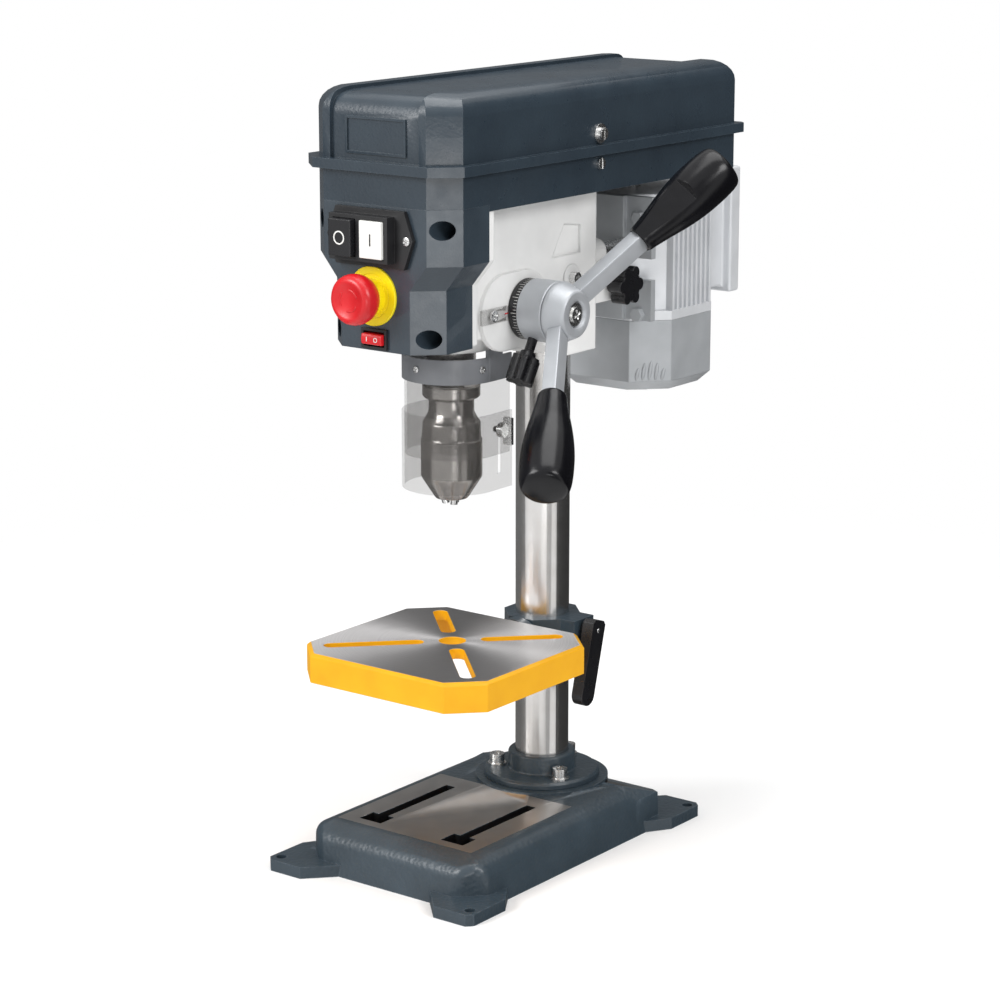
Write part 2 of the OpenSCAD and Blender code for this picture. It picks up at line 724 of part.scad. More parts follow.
module belt_plan(i, f) polygon([[-belt_hw + i, belt_front + i + f + bevel_y],
  [-belt_hw + i + bevel_x, belt_front + i + f], [belt_hw - i - bevel_x, belt_front + i + f],
  [belt_hw - i, belt_front + i + f + bevel_y], [belt_hw - i, belt_rear - i - 5],
  [belt_hw - i - 5, belt_rear - i], [-belt_hw + i + 5, belt_rear - i], [-belt_hw + i, belt_rear - i - 5]]);
module lid_solid(i, f, top) hull() {
  slice(lip_z + gap) belt_plan(i, f);
  for (a = [0:15:90]) slice(top - cover_round * (1 - sin(a)) - 0.1)
    belt_plan(i + cover_round * (1 - cos(a)), f);
}
module belt_housing() color(cast_grey) difference() {
  union() {
    difference() {
      translate([0, 0, head_top]) linear_extrude(lip_z - head_top) belt_plan(0, 0);
      translate([0, 0, cover_z1 + floor_t]) linear_extrude(lip_z) belt_plan(belt_wall, 0);
    }
    for (y = lid_hinge_y, s = [-1, 1]) {
      rod_along_y(hinge_r, y + s * 10 - 4.8, y + s * 10 + 4.8, lid_axis_x, lid_axis_z);
      block([lid_axis_x, -belt_hw + lap], [y + s * 10 - 4.8, y + s * 10 + 4.8],
        [lid_axis_z - 3, lid_axis_z + 2]);
    }
  }
  block([-belt_hw - lap, belt_hw + lap], [belt_front - lap, head_front], [head_top - lap, cover_z1]);
  rod_along_z(sleeve_bearing_r + 2, head_top - lap, lip_z, 0, spindle_y);
  block([-shaft_r - 5, shaft_r + 5], [motor_y - shaft_r - 5 - tension_travel, motor_y + shaft_r + 5],
    [head_top - lap, lip_z]);
  for (y = lid_hinge_y) rod_along_y(hinge_pin_r, y - lid_hinge_hl, y + lid_hinge_hl, lid_axis_x, lid_axis_z);
}
module belt_cover() color(cast_grey) difference() {
  union() {
    difference() {
      union() {
        difference() {
          lid_solid(0, 0, cover_top);
          block([-rail_x, rail_x], [belt_front - lap, belt_rear + lap], [lip_z - lap, cover_top + lap]);
        }
        lid_solid(1, rail_t - 1, cover_top - rail_t);
      }
      lid_solid(belt_wall + 1, rail_t, cover_top - rail_t - belt_wall);
      block([-belt_hw + belt_wall + 1, belt_hw - belt_wall - 1], [belt_front + 30, belt_rear - 12],
        [lip_z - lap, lip_z + lip_h]);
    }
    translate([0, 0, lip_z + gap]) difference() {
      linear_extrude(lip_h) belt_plan(-lip, 0);
      translate([0, 0, -lap]) linear_extrude(lip_h + 2 * lap) belt_plan(belt_wall + 1, rail_t);
    }
    difference() {
      block([-30, 30], [belt_front + rail_t - 1.5, belt_front + rail_t + lap], [lip_z + 13, lip_z + 42]);
      block([-28, 28], [belt_front, belt_front + rail_t + 2 * lap], [lip_z + 15, lip_z + 40]);
    }
    for (y = lid_hinge_y) {
      rod_along_y(hinge_r, y - 4.9, y + 4.9, lid_axis_x, lid_axis_z);
      block([lid_axis_x - 2, -belt_hw - lip + lap], [y - 4.9, y + 4.9], [lid_axis_z + 2, lip_z + gap + 4]);
    }
  }
  for (y = lid_hinge_y) rod_along_y(hinge_pin_r + run, y - 6, y + 6, lid_axis_x, lid_axis_z);
  rod_along_x(3 + run, belt_hw - 8, belt_hw + lap, side_screw_y, lip_z + 17);
}
module housing_pins() color(bright) {
  for (y = lid_hinge_y) rod_along_y(hinge_pin_r, y - 14.8, y + 14.8, lid_axis_x, lid_axis_z);
  side_screw();
}
module side_screw() difference() {
  rod_along_x(4.5, belt_hw, belt_hw + 3, side_screw_y, lip_z - 7);
  block([belt_hw + 1.5, belt_hw + 4], [side_screw_y - 0.6, side_screw_y + 0.6], [lip_z - 13, lip_z]);
}
module latch_screw() difference() {
  union() {
    rod_along_x(3, belt_hw - 7, belt_hw + lap, side_screw_y, lip_z + 17);
    rod_along_x(8, belt_hw, belt_hw + 1.5, side_screw_y, lip_z + 17);
    rod_along_x(5, belt_hw + 1, belt_hw + 5, side_screw_y, lip_z + 17);
  }
  block([belt_hw + 3.5, belt_hw + 6], [side_screw_y - 0.6, side_screw_y + 0.6], [lip_z + 10, lip_z + 24]);
}
module cover_latch() color(bright) latch_screw();
function step_points(rim, z) = [[rim, z], [rim, z + groove_rim], [rim - groove_d, z + groove_floor],
  [rim - groove_d, z + step_h - groove_floor], [rim, z + step_h - groove_rim], [rim, z + step_h]];
function pulley_points(mid, dir, bore) = concat([[bore, 0]],
  [for (k = [0:step_n - 1]) for (q = step_points(mid + dir * step_dr * (k - 2), k * step_h)) q],
  [[bore, step_n * step_h]]);
// the pulley carries the splined sleeve that drives the spindle
module spindle_pulley() color(alloy) translate([0, spindle_y, pulley_z]) rotate_extrude()
  polygon(concat([[spline_r + run, sleeve_z0 - pulley_z], [sleeve_r, sleeve_z0 - pulley_z]],
    pulley_points(spindle_rim, 1, sleeve_r), [[spline_r + run, step_n * step_h]]));
module motor_pulley() color(alloy) translate([0, motor_y, pulley_z])
  rotate_extrude() polygon(pulley_points(motor_rim, -1, shaft_r));
// two discs, one round each pulley, at a radius counted from the rims
module belt_discs(out, z, h) {
  translate([0, spindle_y, belt_z + z]) cylinder(r = spindle_rim + out, h = h, $fn = 96);
  translate([0, motor_y, belt_z + z]) cylinder(r = motor_rim + out, h = h, $fn = 96);
}
// the section narrows from its back to its inner face, with both flanks clear of the groove
module v_belt() color(rubber) difference() {
  hull() belt_discs(belt_back, -belt_back_hh, 2 * belt_back_hh);
  hull() belt_discs(-belt_depth, -step_h, 2 * step_h);
  for (s = [0, 1]) translate([0, 0, 2 * s * belt_z]) mirror([0, 0, s]) hull() {
    belt_discs(-belt_depth - 0.2, belt_foot_hh - 0.1, 0.1);
    belt_discs(belt_back - 0.3, belt_back_hh - 0.1, 3);
  }
}
module sleeve_bearings() color(bright) for (k = [0, 1])
  translate([0, spindle_y, sleeve_seat_z + k * bearing_h])
    ring(sleeve_r + run, sleeve_bearing_r, bearing_h - gap);

// Quill, spindle and chuck

function tooth_half(r) = let(rb = pinion_r * cos(20), a = acos(min(1, rb / r)))
  (PI * gear_m / 2 - backlash) / (2 * pinion_r) * 180 / PI
  + (tan(20) * 180 / PI - 20) - (tan(a) * 180 / PI - a);
function flank_radii() = [for (k = [0:5])
  pinion_r * cos(20) + (pinion_r + gear_m - pinion_r * cos(20)) * k / 5];
function polar(r, a) = [r * cos(a), r * sin(a)];
module pinion_tooth() polygon(concat([polar(feed_r - 1, -tooth_half(pinion_r * cos(20)))],
  [for (r = flank_radii()) polar(r, -tooth_half(r))],
  [for (k = [5:-1:0]) let(r = flank_radii()[k]) polar(r, tooth_half(r))],
  [polar(feed_r - 1, tooth_half(pinion_r * cos(20)))]));
module rack_gap(z) {
  half = (rack_pitch / 2 + backlash) / 2;
  floor_y = spindle_y + rack_y - dedendum;
  open_y = spindle_y + quill_r + lap;
  along_x(-quill_r, quill_r) polygon([[floor_y, z - half + dedendum * tan(20)],
    [open_y, z - half - (quill_r + lap - rack_y) * tan(20)],
    [open_y, z + half + (quill_r + lap - rack_y) * tan(20)], [floor_y, z + half - dedendum * tan(20)]]);
}
rack_n = ceil((stroke + 14) / rack_pitch);
module quill() color(bright) difference() {
  rod_along_z(quill_r, quill_z0, quill_z1, 0, spindle_y);
  rod_along_z(spindle_r + 1.5, quill_z0 - lap, quill_z1 + lap, 0, spindle_y);
  for (z = [quill_z0 - lap, quill_z1 - bearing_h])
    rod_along_z(quill_bearing_r, z, z + bearing_h + lap, 0, spindle_y);
  block([-quill_r, quill_r], [spindle_y + rack_y + gear_m, spindle_y + quill_r + lap],
    [hub_z - 9, quill_z1 + lap]);
  for (k = [0:rack_n - 1]) rack_gap(hub_z + (k - 1.5) * rack_pitch);
}
module quill_bearings() color(steel) for (z = [quill_z0, quill_z1 - bearing_h])
  translate([0, spindle_y, z]) ring(spindle_r + run, quill_bearing_r, bearing_h);
module spindle() color(steel) translate([0, spindle_y, 0]) rotate_extrude() polygon([[0, taper_z],
  [taper_r0, taper_z], [taper_r1, chuck_top_z], [spindle_r + 2.5, chuck_top_z + 4],
  [spindle_r + 2.5, quill_z0 - gap], [spindle_r, quill_z0 - gap], [spindle_r, quill_z1 + 1],
  [spline_r, quill_z1 + 1], [spline_r, pulley_z + step_n * step_h + 2], [0, pulley_z + step_n * step_h + 2]]);
module at_jaws(k) translate([0, spindle_y, jaw_tip_z]) rotate([0, 0, 90 + 120 * k])
  translate([jaw_tip_r, 0, 0]) rotate([0, jaw_lean, 0]) children();
module chuck_body() color(steel) difference() {
  translate([0, spindle_y, 0]) rotate_extrude() polygon([[0, nose_z + 1.2], [core_nose_r, nose_z + 1.2],
    [core_r, cone_z - 1.5], [core_r, seam_z + gap], [chuck_r, seam_z + gap], [chuck_r, seam_z + 8],
    [chuck_r - 1, seam_z + 8.5], [chuck_r - 1.4, chuck_collar_z - 2], [chuck_r - 3, chuck_collar_z],
    [chuck_r - 6.5, chuck_collar_z + 6.6], [chuck_r - 6.5, chuck_neck_z - 1.5],
    [chuck_r - 3, chuck_neck_z], [chuck_r - 1.5, chuck_neck_z + 1.5], [chuck_r - 1.5, chuck_top_z - 1.5],
    [chuck_r - 3, chuck_top_z], [taper_r1 + 0.02, chuck_top_z], [taper_r0 + 0.02, taper_z - 1],
    [0, taper_z - 1]]);
  rod_along_z(shank_hole_r, nose_z, seam_z, 0, spindle_y);
  for (k = [0:2]) at_jaws(k) rod_along_z(jaw_r + run, -6, jaw_l + jaw_travel + lap, 0, 0);
}
module chuck_sleeve() color(steel) translate([0, spindle_y, 0]) rotate_extrude() polygon([
  [core_nose_r + 0.6, nose_z], [chuck_nose_r, nose_z], [chuck_nose_r + 1, nose_z + 1],
  [chuck_r - 1, cone_z - 1], [chuck_r, cone_z + 1], [chuck_r, seam_z], [core_r + run, seam_z],
  [core_r + run, cone_z - 1.5], [core_nose_r + 0.6, nose_z + 1.2]]);
module jaw(k) color(bright) at_jaws(k) difference() {
  rod_along_z(jaw_r, 0, jaw_l, 0, 0);
  rotate([0, -jaw_lean, 0]) block([-20, 20], [-20, 20], [-10, 0.01]);
}
module chuck_jaw_a() jaw(0);
module chuck_jaw_b() jaw(1);
module chuck_jaw_c() jaw(2);

// Feed

module feed_shaft() color(steel) {
  rod_along_x(feed_r, -cap_x + cap_wall + 1, hub_x1 - hub_recess_t - gap, hub_y, hub_z);
  along_x(-pinion_hw, pinion_hw) translate([hub_y, hub_z])
    for (k = [0:pinion_n - 1]) rotate(180 + (k + 0.5) * 360 / pinion_n) pinion_tooth();
}
module feed_bush() color(bright) translate([bush_x, hub_y, hub_z]) rotate([0, 90, 0])
  ring(feed_r + run, bush_r, pad_x - bush_x);
module lever_frame(a) translate([lever_x, hub_y, hub_z]) rotate([a, 0, 0]) rotate([0, 0, 90 - lever_lean])
  rotate([0, 90, 0]) children();
module bar_outline(i) octagon(bar_w / 2 + i, bar_t / 2 + i, bar_edge);
module feed_hub() color(alloy) difference() {
  translate([0, hub_y, hub_z]) rotate([0, 90, 0]) rotate_extrude() polygon([[feed_r, scale_x],
    [hub_sleeve_r, scale_x], [hub_sleeve_r, hub_x0], [ring_r - 1, hub_x0], [ring_r, hub_x0 + 1],
    [ring_r, hub_rim_x], [hub_nose_r + 1, hub_x1 - 1], [hub_nose_r - 0.5, hub_x1], [hub_recess_r, hub_x1],
    [hub_recess_r, hub_x1 - hub_recess_t], [feed_r, hub_x1 - hub_recess_t]]);
  for (a = lever_angles) lever_frame(a) translate([0, 0, bar_s0]) linear_extrude(30) bar_outline(0);
}
module hub_screw() color(bright) difference() {
  rod_along_x(hub_recess_r - 1.5, hub_x1 - hub_recess_t, hub_x1 - 1.5, hub_y, hub_z);
  translate([hub_x1 - 4, hub_y, hub_z]) rotate([0, 90, 0]) cylinder(r = 3.2, h = 6, $fn = 6);
}
module lever_bars() color(alloy) for (a = lever_angles) lever_frame(a)
  translate([0, 0, bar_s0]) linear_extrude(grip_s + grip_hold - bar_s0) bar_outline(0);
module grip_solid() {
  l = lever_l - grip_s;
  rotate_extrude() polygon([[0, 0], [10.5, 0], [11.5, 1.5], [12.2, 0.08 * l], [14.4, 0.2 * l],
    [17.4, 0.34 * l], [19.9, 0.48 * l], [grip_r, 0.6 * l], [grip_r, 0.7 * l], [20.3, 0.79 * l],
    [18.6, 0.87 * l], [15.5, 0.94 * l], [11, 0.98 * l], [6, 0.995 * l], [0, l]]);
}
module lever_grips() color(black) for (a = lever_angles) lever_frame(a) difference() {
  translate([0, 0, grip_s]) grip_solid();
  translate([0, 0, grip_s - lap]) linear_extrude(grip_hold + lap) bar_outline(0);
}
module depth_scale() color(black) translate([scale_x, hub_y, hub_z]) rotate([0, 90, 0])
  ring(hub_sleeve_r + run, ring_r - 0.5, scale_t);
module depth_frame() translate([depth_knob_x, hub_y, hub_z]) rotate([depth_knob_angle - 90, 0, 0]) children();
module depth_ring() color(alloy) difference() {
  translate([0, hub_y, hub_z]) rotate([0, 90, 0]) rotate_extrude() polygon([[hub_sleeve_r + run, ring_x0],
    [ring_r - 0.5, ring_x0], [ring_r, ring_x0 + 0.5], [ring_r, ring_x1 - 0.8], [ring_r - 0.8, ring_x1],
    [hub_sleeve_r + run, ring_x1]]);
  depth_frame() rod_along_z(depth_screw_r + run, hub_sleeve_r - 2, ring_r + 5, 0, 0);
}
module depth_knob() color(black) depth_frame() {
  rod_along_z(depth_screw_r, hub_sleeve_r + gap, depth_knob_s + lap, 0, 0);
  translate([0, 0, depth_knob_s]) cylinder(r1 = 6, r2 = 8, h = 6);
  translate([0, 0, depth_knob_s + 5]) linear_extrude(depth_knob_l - 5) star(depth_knob_r);
}
module pointer() color(clear) difference() {
  block([pad_x, pad_x + 2.5], [pointer_y0, pointer_y1], [hub_z - pointer_hw, hub_z + pointer_hw]);
  rod_along_x(2.5, pad_x - lap, pad_x + 4, pointer_y0 + 14, hub_z);
}
spring_turns = 5;
spring_r0 = feed_r + 0.8;
spring_r1 = cap_r - cap_wall - 1.2;
spring_t = 0.8;
function spiral(k, out) = let(f = k / 120) polar(spring_r0 + (spring_r1 - spring_r0) * f + out,
  360 * spring_turns * f);
module return_spring() color(steel) along_x(-cap_x + cap_wall + 2, -pad_x - 3) translate([hub_y, hub_z])
  polygon(concat([for (k = [0:120]) spiral(k, 0)], [for (k = [120:-1:0]) spiral(k, spring_t)]));
module spring_cap() color(black) difference() {
  rod_along_x(cap_r, -cap_x, -pad_x, hub_y, hub_z);
  rod_along_x(cap_r - cap_wall, -cap_x + cap_wall, -pad_x + lap, hub_y, hub_z);
}

// Chuck guard

module guard_wall(r, t) translate([0, spindle_y]) {
  difference() {
    circle(r = r + t);
    circle(r = r);
    translate([-2 * r, 0]) square([4 * r, 2 * r]);
  }
  for (x = [-r - t, r]) translate([x, -0.5]) square([t, guard_back + 0.5]);
}
module guard_band() color(black) {
  translate([0, 0, band_z0]) linear_extrude(band_z1 - band_z0) guard_wall(guard_out_r, guard_t);
  block([guard_out_r, guard_out_r + guard_t], [spindle_y - 4, spindle_y + 16],
    [band_z1 - lap, head_step_z - 3]);
  difference() {
    union() {
      rod_along_z(knuckle_r, band_z0, band_z1, hinge_x, hinge_y);
      block([hinge_x, -guard_out_r - lap], [hinge_y - 3, hinge_y + 3], [band_z0, band_z1]);
    }
    rod_along_z(guard_pin_r + run, band_z0 - lap, band_z1 + lap, hinge_x, hinge_y);
  }
}
module guard_hinge() color(black) {
  block([hinge_x - 4, hinge_x + 7], [hinge_y - 8, hinge_y + 8], [band_z1 + gap, head_step_z]);
  rod_along_z(guard_pin_r, band_z0 - 2, band_z1 + 2, hinge_x, hinge_y);
  rod_along_z(guard_pin_r + 2, band_z0 - 4, band_z0 - gap, hinge_x, hinge_y);
}
module guard_shield() color(clear) difference() {
  translate([0, 0, shield_z0]) linear_extrude(band_z1 - 2 - shield_z0) guard_wall(guard_r, guard_t);
  rod_along_x(wing_r + run, guard_r - lap, guard_out_r + lap, wing_y, wing_z);
}
module guard_slider() color(clear) difference() {
  translate([0, 0, slider_z0]) linear_extrude(slider_z1 - slider_z0) guard_wall(slider_r, guard_t);
  along_x(slider_r - lap, slider_r + guard_t + lap) {
    translate([wing_y - wing_r - gap, wing_slot_z0])
      square([2 * wing_r + 2 * gap, wing_z + 3.5 - wing_slot_z0]);
  }
}
module wing_screw() color(black) {
  rod_along_x(wing_r, guard_r - 1, slider_r + guard_t + gap + 2, wing_y, wing_z);
  rod_along_x(6, slider_r + guard_t + gap, slider_r + guard_t + gap + 6, wing_y, wing_z);
  block([slider_r + guard_t + gap + 4, slider_r + guard_t + gap + 12], [wing_y - 1.6, wing_y + 1.6],
    [wing_z - 11, wing_z + 11]);
}

// Motor

module motor_plan(i) translate([0, (motor_front + motor_rear) / 2])
  octagon(motor_hw - i, (motor_rear - motor_front) / 2 - i, motor_bevel);
module motor_body() color(alloy) difference() {
  union() {
    translate([0, 0, motor_z0]) linear_extrude(motor_z1 - motor_z0) motor_plan(fin_d);
    for (k = [0:fin_n - 1]) let(y = motor_front + motor_bevel + 1 + k * (motor_rear - motor_front
      - 2 * motor_bevel - 2 - fin_t) / (fin_n - 1)) block([-motor_hw, motor_hw], [y, y + fin_t],
      [motor_z0 + 3, motor_z1 - 3]);
    for (z = [motor_z0, motor_z1 - 8]) translate([0, 0, z]) linear_extrude(8) motor_plan(0);
  }
  rod_along_z(stator_r, motor_z0 - lap, motor_z1 - 12, 0, motor_y);
  rod_along_z(shaft_r + 1, motor_z0, motor_z1 + lap, 0, motor_y);
  rod_along_z(motor_bearing_r, motor_z1 - 13, motor_z1 - 4, 0, motor_y);
}
module motor_core() color(steel) translate([0, motor_y, 0]) {
  translate([0, 0, motor_z0 + 24]) ring(rotor_r + 0.6, stator_r, 60);
  translate([0, 0, motor_z0 + 2]) ring(motor_bearing_r, stator_r, 8);
  for (z = [motor_z0 + 2, motor_z1 - 13]) translate([0, 0, z]) ring(shaft_r + run, motor_bearing_r, 8);
}
module rotor() color(steel) translate([0, motor_y, 0]) {
  rod_along_z(shaft_r, fan_z0 + 18, pulley_z + step_n * step_h + 2, 0, 0);
  rod_along_z(rotor_r, motor_z0 + 26, motor_z0 + 82, 0, 0);
  rod_along_z(13, fan_z0 + 20, fan_z0 + 40, 0, 0);
  for (k = [0:7]) rotate(45 * k) block([10, 44], [-1, 1], [fan_z0 + 20, fan_z0 + 40]);
}
module case_solid(i) hull() {
  slice(fan_z0 + i) motor_plan(8 + i);
  slice(fan_z0 + 9 + i) motor_plan(i);
  slice(motor_z0 - 0.1) motor_plan(i);
}
module motor_case() color(black) difference() {
  case_solid(0);
  case_solid(fan_wall);
  translate([0, 0, motor_z0 - lap]) linear_extrude(2 * lap) motor_plan(fan_wall);
  for (k = [-3:3]) block([k * 12 - 2.5, k * 12 + 2.5], [motor_y - 30, motor_y + 30],
    [fan_z0 - lap, fan_z0 + 6]);
}
module bracket_half(z0, z1) {
  block([-bracket_hw, bracket_hw], [bracket_y, motor_front], [z0, z1]);
  block([-motor_hw, motor_hw], [motor_front - ear_t, motor_front], [z0, z1]);
}
module motor_bracket() color(alloy) difference() {
  union() {
    bracket_half(rod_z - 11, motor_z1);
    bracket_half(motor_z0 + 3, lock_z - 1);
    block([-bracket_hw + 4, bracket_hw - 4], [motor_front - 5, motor_front], [motor_z0 + 3, motor_z1]);
    block([tongue_x, tongue_x + tongue_t], [tongue_y, motor_front - lap],
      [lock_z - tongue_hh, lock_z + tongue_hh]);
    for (sx = [-1, 1], z = [motor_z0 + 8, motor_z1 - 18]) translate([sx * 48, motor_front - ear_t, z])
      rotate([90, 0, 0]) cylinder(r = 6, h = 5, $fn = 6);
  }
  both_sides() rod_along_y(rod_r, bracket_y - lap, motor_front + lap, rod_x, rod_z);
}
module slide_rods() color(bright) both_sides() rod_along_y(rod_r, rod_front_y, motor_front, rod_x, rod_z);
module tension_knob() color(black) {
  rod_along_x(knob_screw_r, tongue_x + tongue_t + 2 * gap, lock_x1 + 3, knob_y, lock_z);
  rod_along_x(knob_flange_r, lock_x1 + gap, lock_x1 + 4, knob_y, lock_z);
  along_x(lock_x1 + 3, lock_x1 + knob_h) translate([knob_y, lock_z]) star(knob_r);
}
module terminal_box() color(black) {
  difference() {
    block([-box_hw, box_hw], [box_y0, box_y1], [box_z0, box_z1]);
    block([-box_hw + 3, box_hw - 3], [box_y0 + 3, box_y1 + lap], [box_z0 + 3, box_z1 - 3]);
  }
  difference() {
    block([-box_lid_hw, box_lid_hw], [box_y1, box_y1 + box_lid_t], [box_z0 - 5, box_z1 + 5]);
    block([-box_hw + 3, box_hw - 3], [box_y1 - lap, box_y1 + box_lid_t - 3], [box_z0 + 3, box_z1 - 3]);
  }
}

base_casting();
column_flange();
socket_bolts();
flange_washers();
column();
table_bracket();
tilt_bolt();
table_top();
clamp_lever();
head_casting();
front_cover();
cover_screws();
belt_housing();
belt_cover();
housing_pins();
cover_latch();
spindle_pulley();
motor_pulley();
v_belt();
sleeve_bearings();
quill();
quill_bearings();
spindle();
chuck_body();
chuck_sleeve();
chuck_jaw_a();
chuck_jaw_b();
chuck_jaw_c();
feed_shaft();
feed_bush();
feed_hub();
hub_screw();
lever_bars();
lever_grips();
depth_scale();
depth_ring();
depth_knob();
pointer();
return_spring();
spring_cap();
guard_hinge();
guard_band();
guard_shield();
guard_slider();
wing_screw();
switch_plate();
control_blocks();
off_button();
on_button();
estop_disc();
estop_button();
rocker();
motor_body();
motor_core();
rotor();
motor_case();
motor_bracket();
slide_rods();
tension_knob();
terminal_box();
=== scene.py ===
"""Looks of the benchtop drill press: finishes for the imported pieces, and the finer shapes that they carry."""

import json
import math

import bmesh
import bpy
import numpy as np
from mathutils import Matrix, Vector


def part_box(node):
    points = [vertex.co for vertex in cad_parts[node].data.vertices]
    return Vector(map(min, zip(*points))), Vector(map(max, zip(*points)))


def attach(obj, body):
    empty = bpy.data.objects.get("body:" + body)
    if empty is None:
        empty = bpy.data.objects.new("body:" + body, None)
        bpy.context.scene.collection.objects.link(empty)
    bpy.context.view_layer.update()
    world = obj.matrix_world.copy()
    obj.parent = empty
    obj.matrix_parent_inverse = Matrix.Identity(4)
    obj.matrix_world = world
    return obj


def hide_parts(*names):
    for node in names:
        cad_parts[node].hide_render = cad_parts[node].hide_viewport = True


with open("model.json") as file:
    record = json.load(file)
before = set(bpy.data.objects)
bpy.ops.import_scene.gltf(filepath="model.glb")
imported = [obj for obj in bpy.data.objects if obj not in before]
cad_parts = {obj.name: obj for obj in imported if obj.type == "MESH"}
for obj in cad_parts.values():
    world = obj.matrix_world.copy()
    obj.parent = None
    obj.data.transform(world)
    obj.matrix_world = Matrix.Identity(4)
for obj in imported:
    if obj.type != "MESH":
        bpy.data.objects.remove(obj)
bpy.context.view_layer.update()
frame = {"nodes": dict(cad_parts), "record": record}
NODES = frame["nodes"]

# Shapes below are worked out in millimetres and become metres when a piece is made.
MM = 0.001


def box_mm(node):
    """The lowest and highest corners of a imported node, in millimetres."""
    low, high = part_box(node)
    return np.array(low) / MM, np.array(high) / MM


def middle_mm(node):
    """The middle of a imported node's box, in millimetres."""
    low, high = box_mm(node)
    return (low + high) / 2


# Places taken from the frame
TABLE_FACE = box_mm("table_top")[1][2]
BASE_HIGH = box_mm("base_casting")[1]
SCALE_LOW, SCALE_HIGH = box_mm("depth_scale")
COLUMN_Y = middle_mm("column")[1]
SPINDLE_Y = middle_mm("quill")[1]
HUB_Y, HUB_Z = middle_mm("depth_scale")[1:]


# Colours and finishes

# The part of a texture's range that most of it lies in
TEXTURE_RANGE = (0.3, 0.7)
# How closely a rounded normal keeps to the true one: on an edge lightened as rubbed paint and painted
# highlight, and on a flat face
EDGE_RANGE = (0.80, 0.985)
CELL_SMOOTHNESS = 0.6
EDGE_SAMPLES = 4
# Where a mix node keeps its two colours and their blend
MIX_FIRST, MIX_SECOND, MIX_RESULT = 6, 7, 2


def srgb(red, green, blue):
    """Turns a display colour of 0 to 255 into the linear colour that a shader takes."""
    shown = np.array([red, green, blue]) / 255.0
    linear = np.where(shown <= 0.04045, shown / 12.92, ((shown + 0.055) / 1.055) ** 2.4)
    return (*linear.tolist(), 1.0)


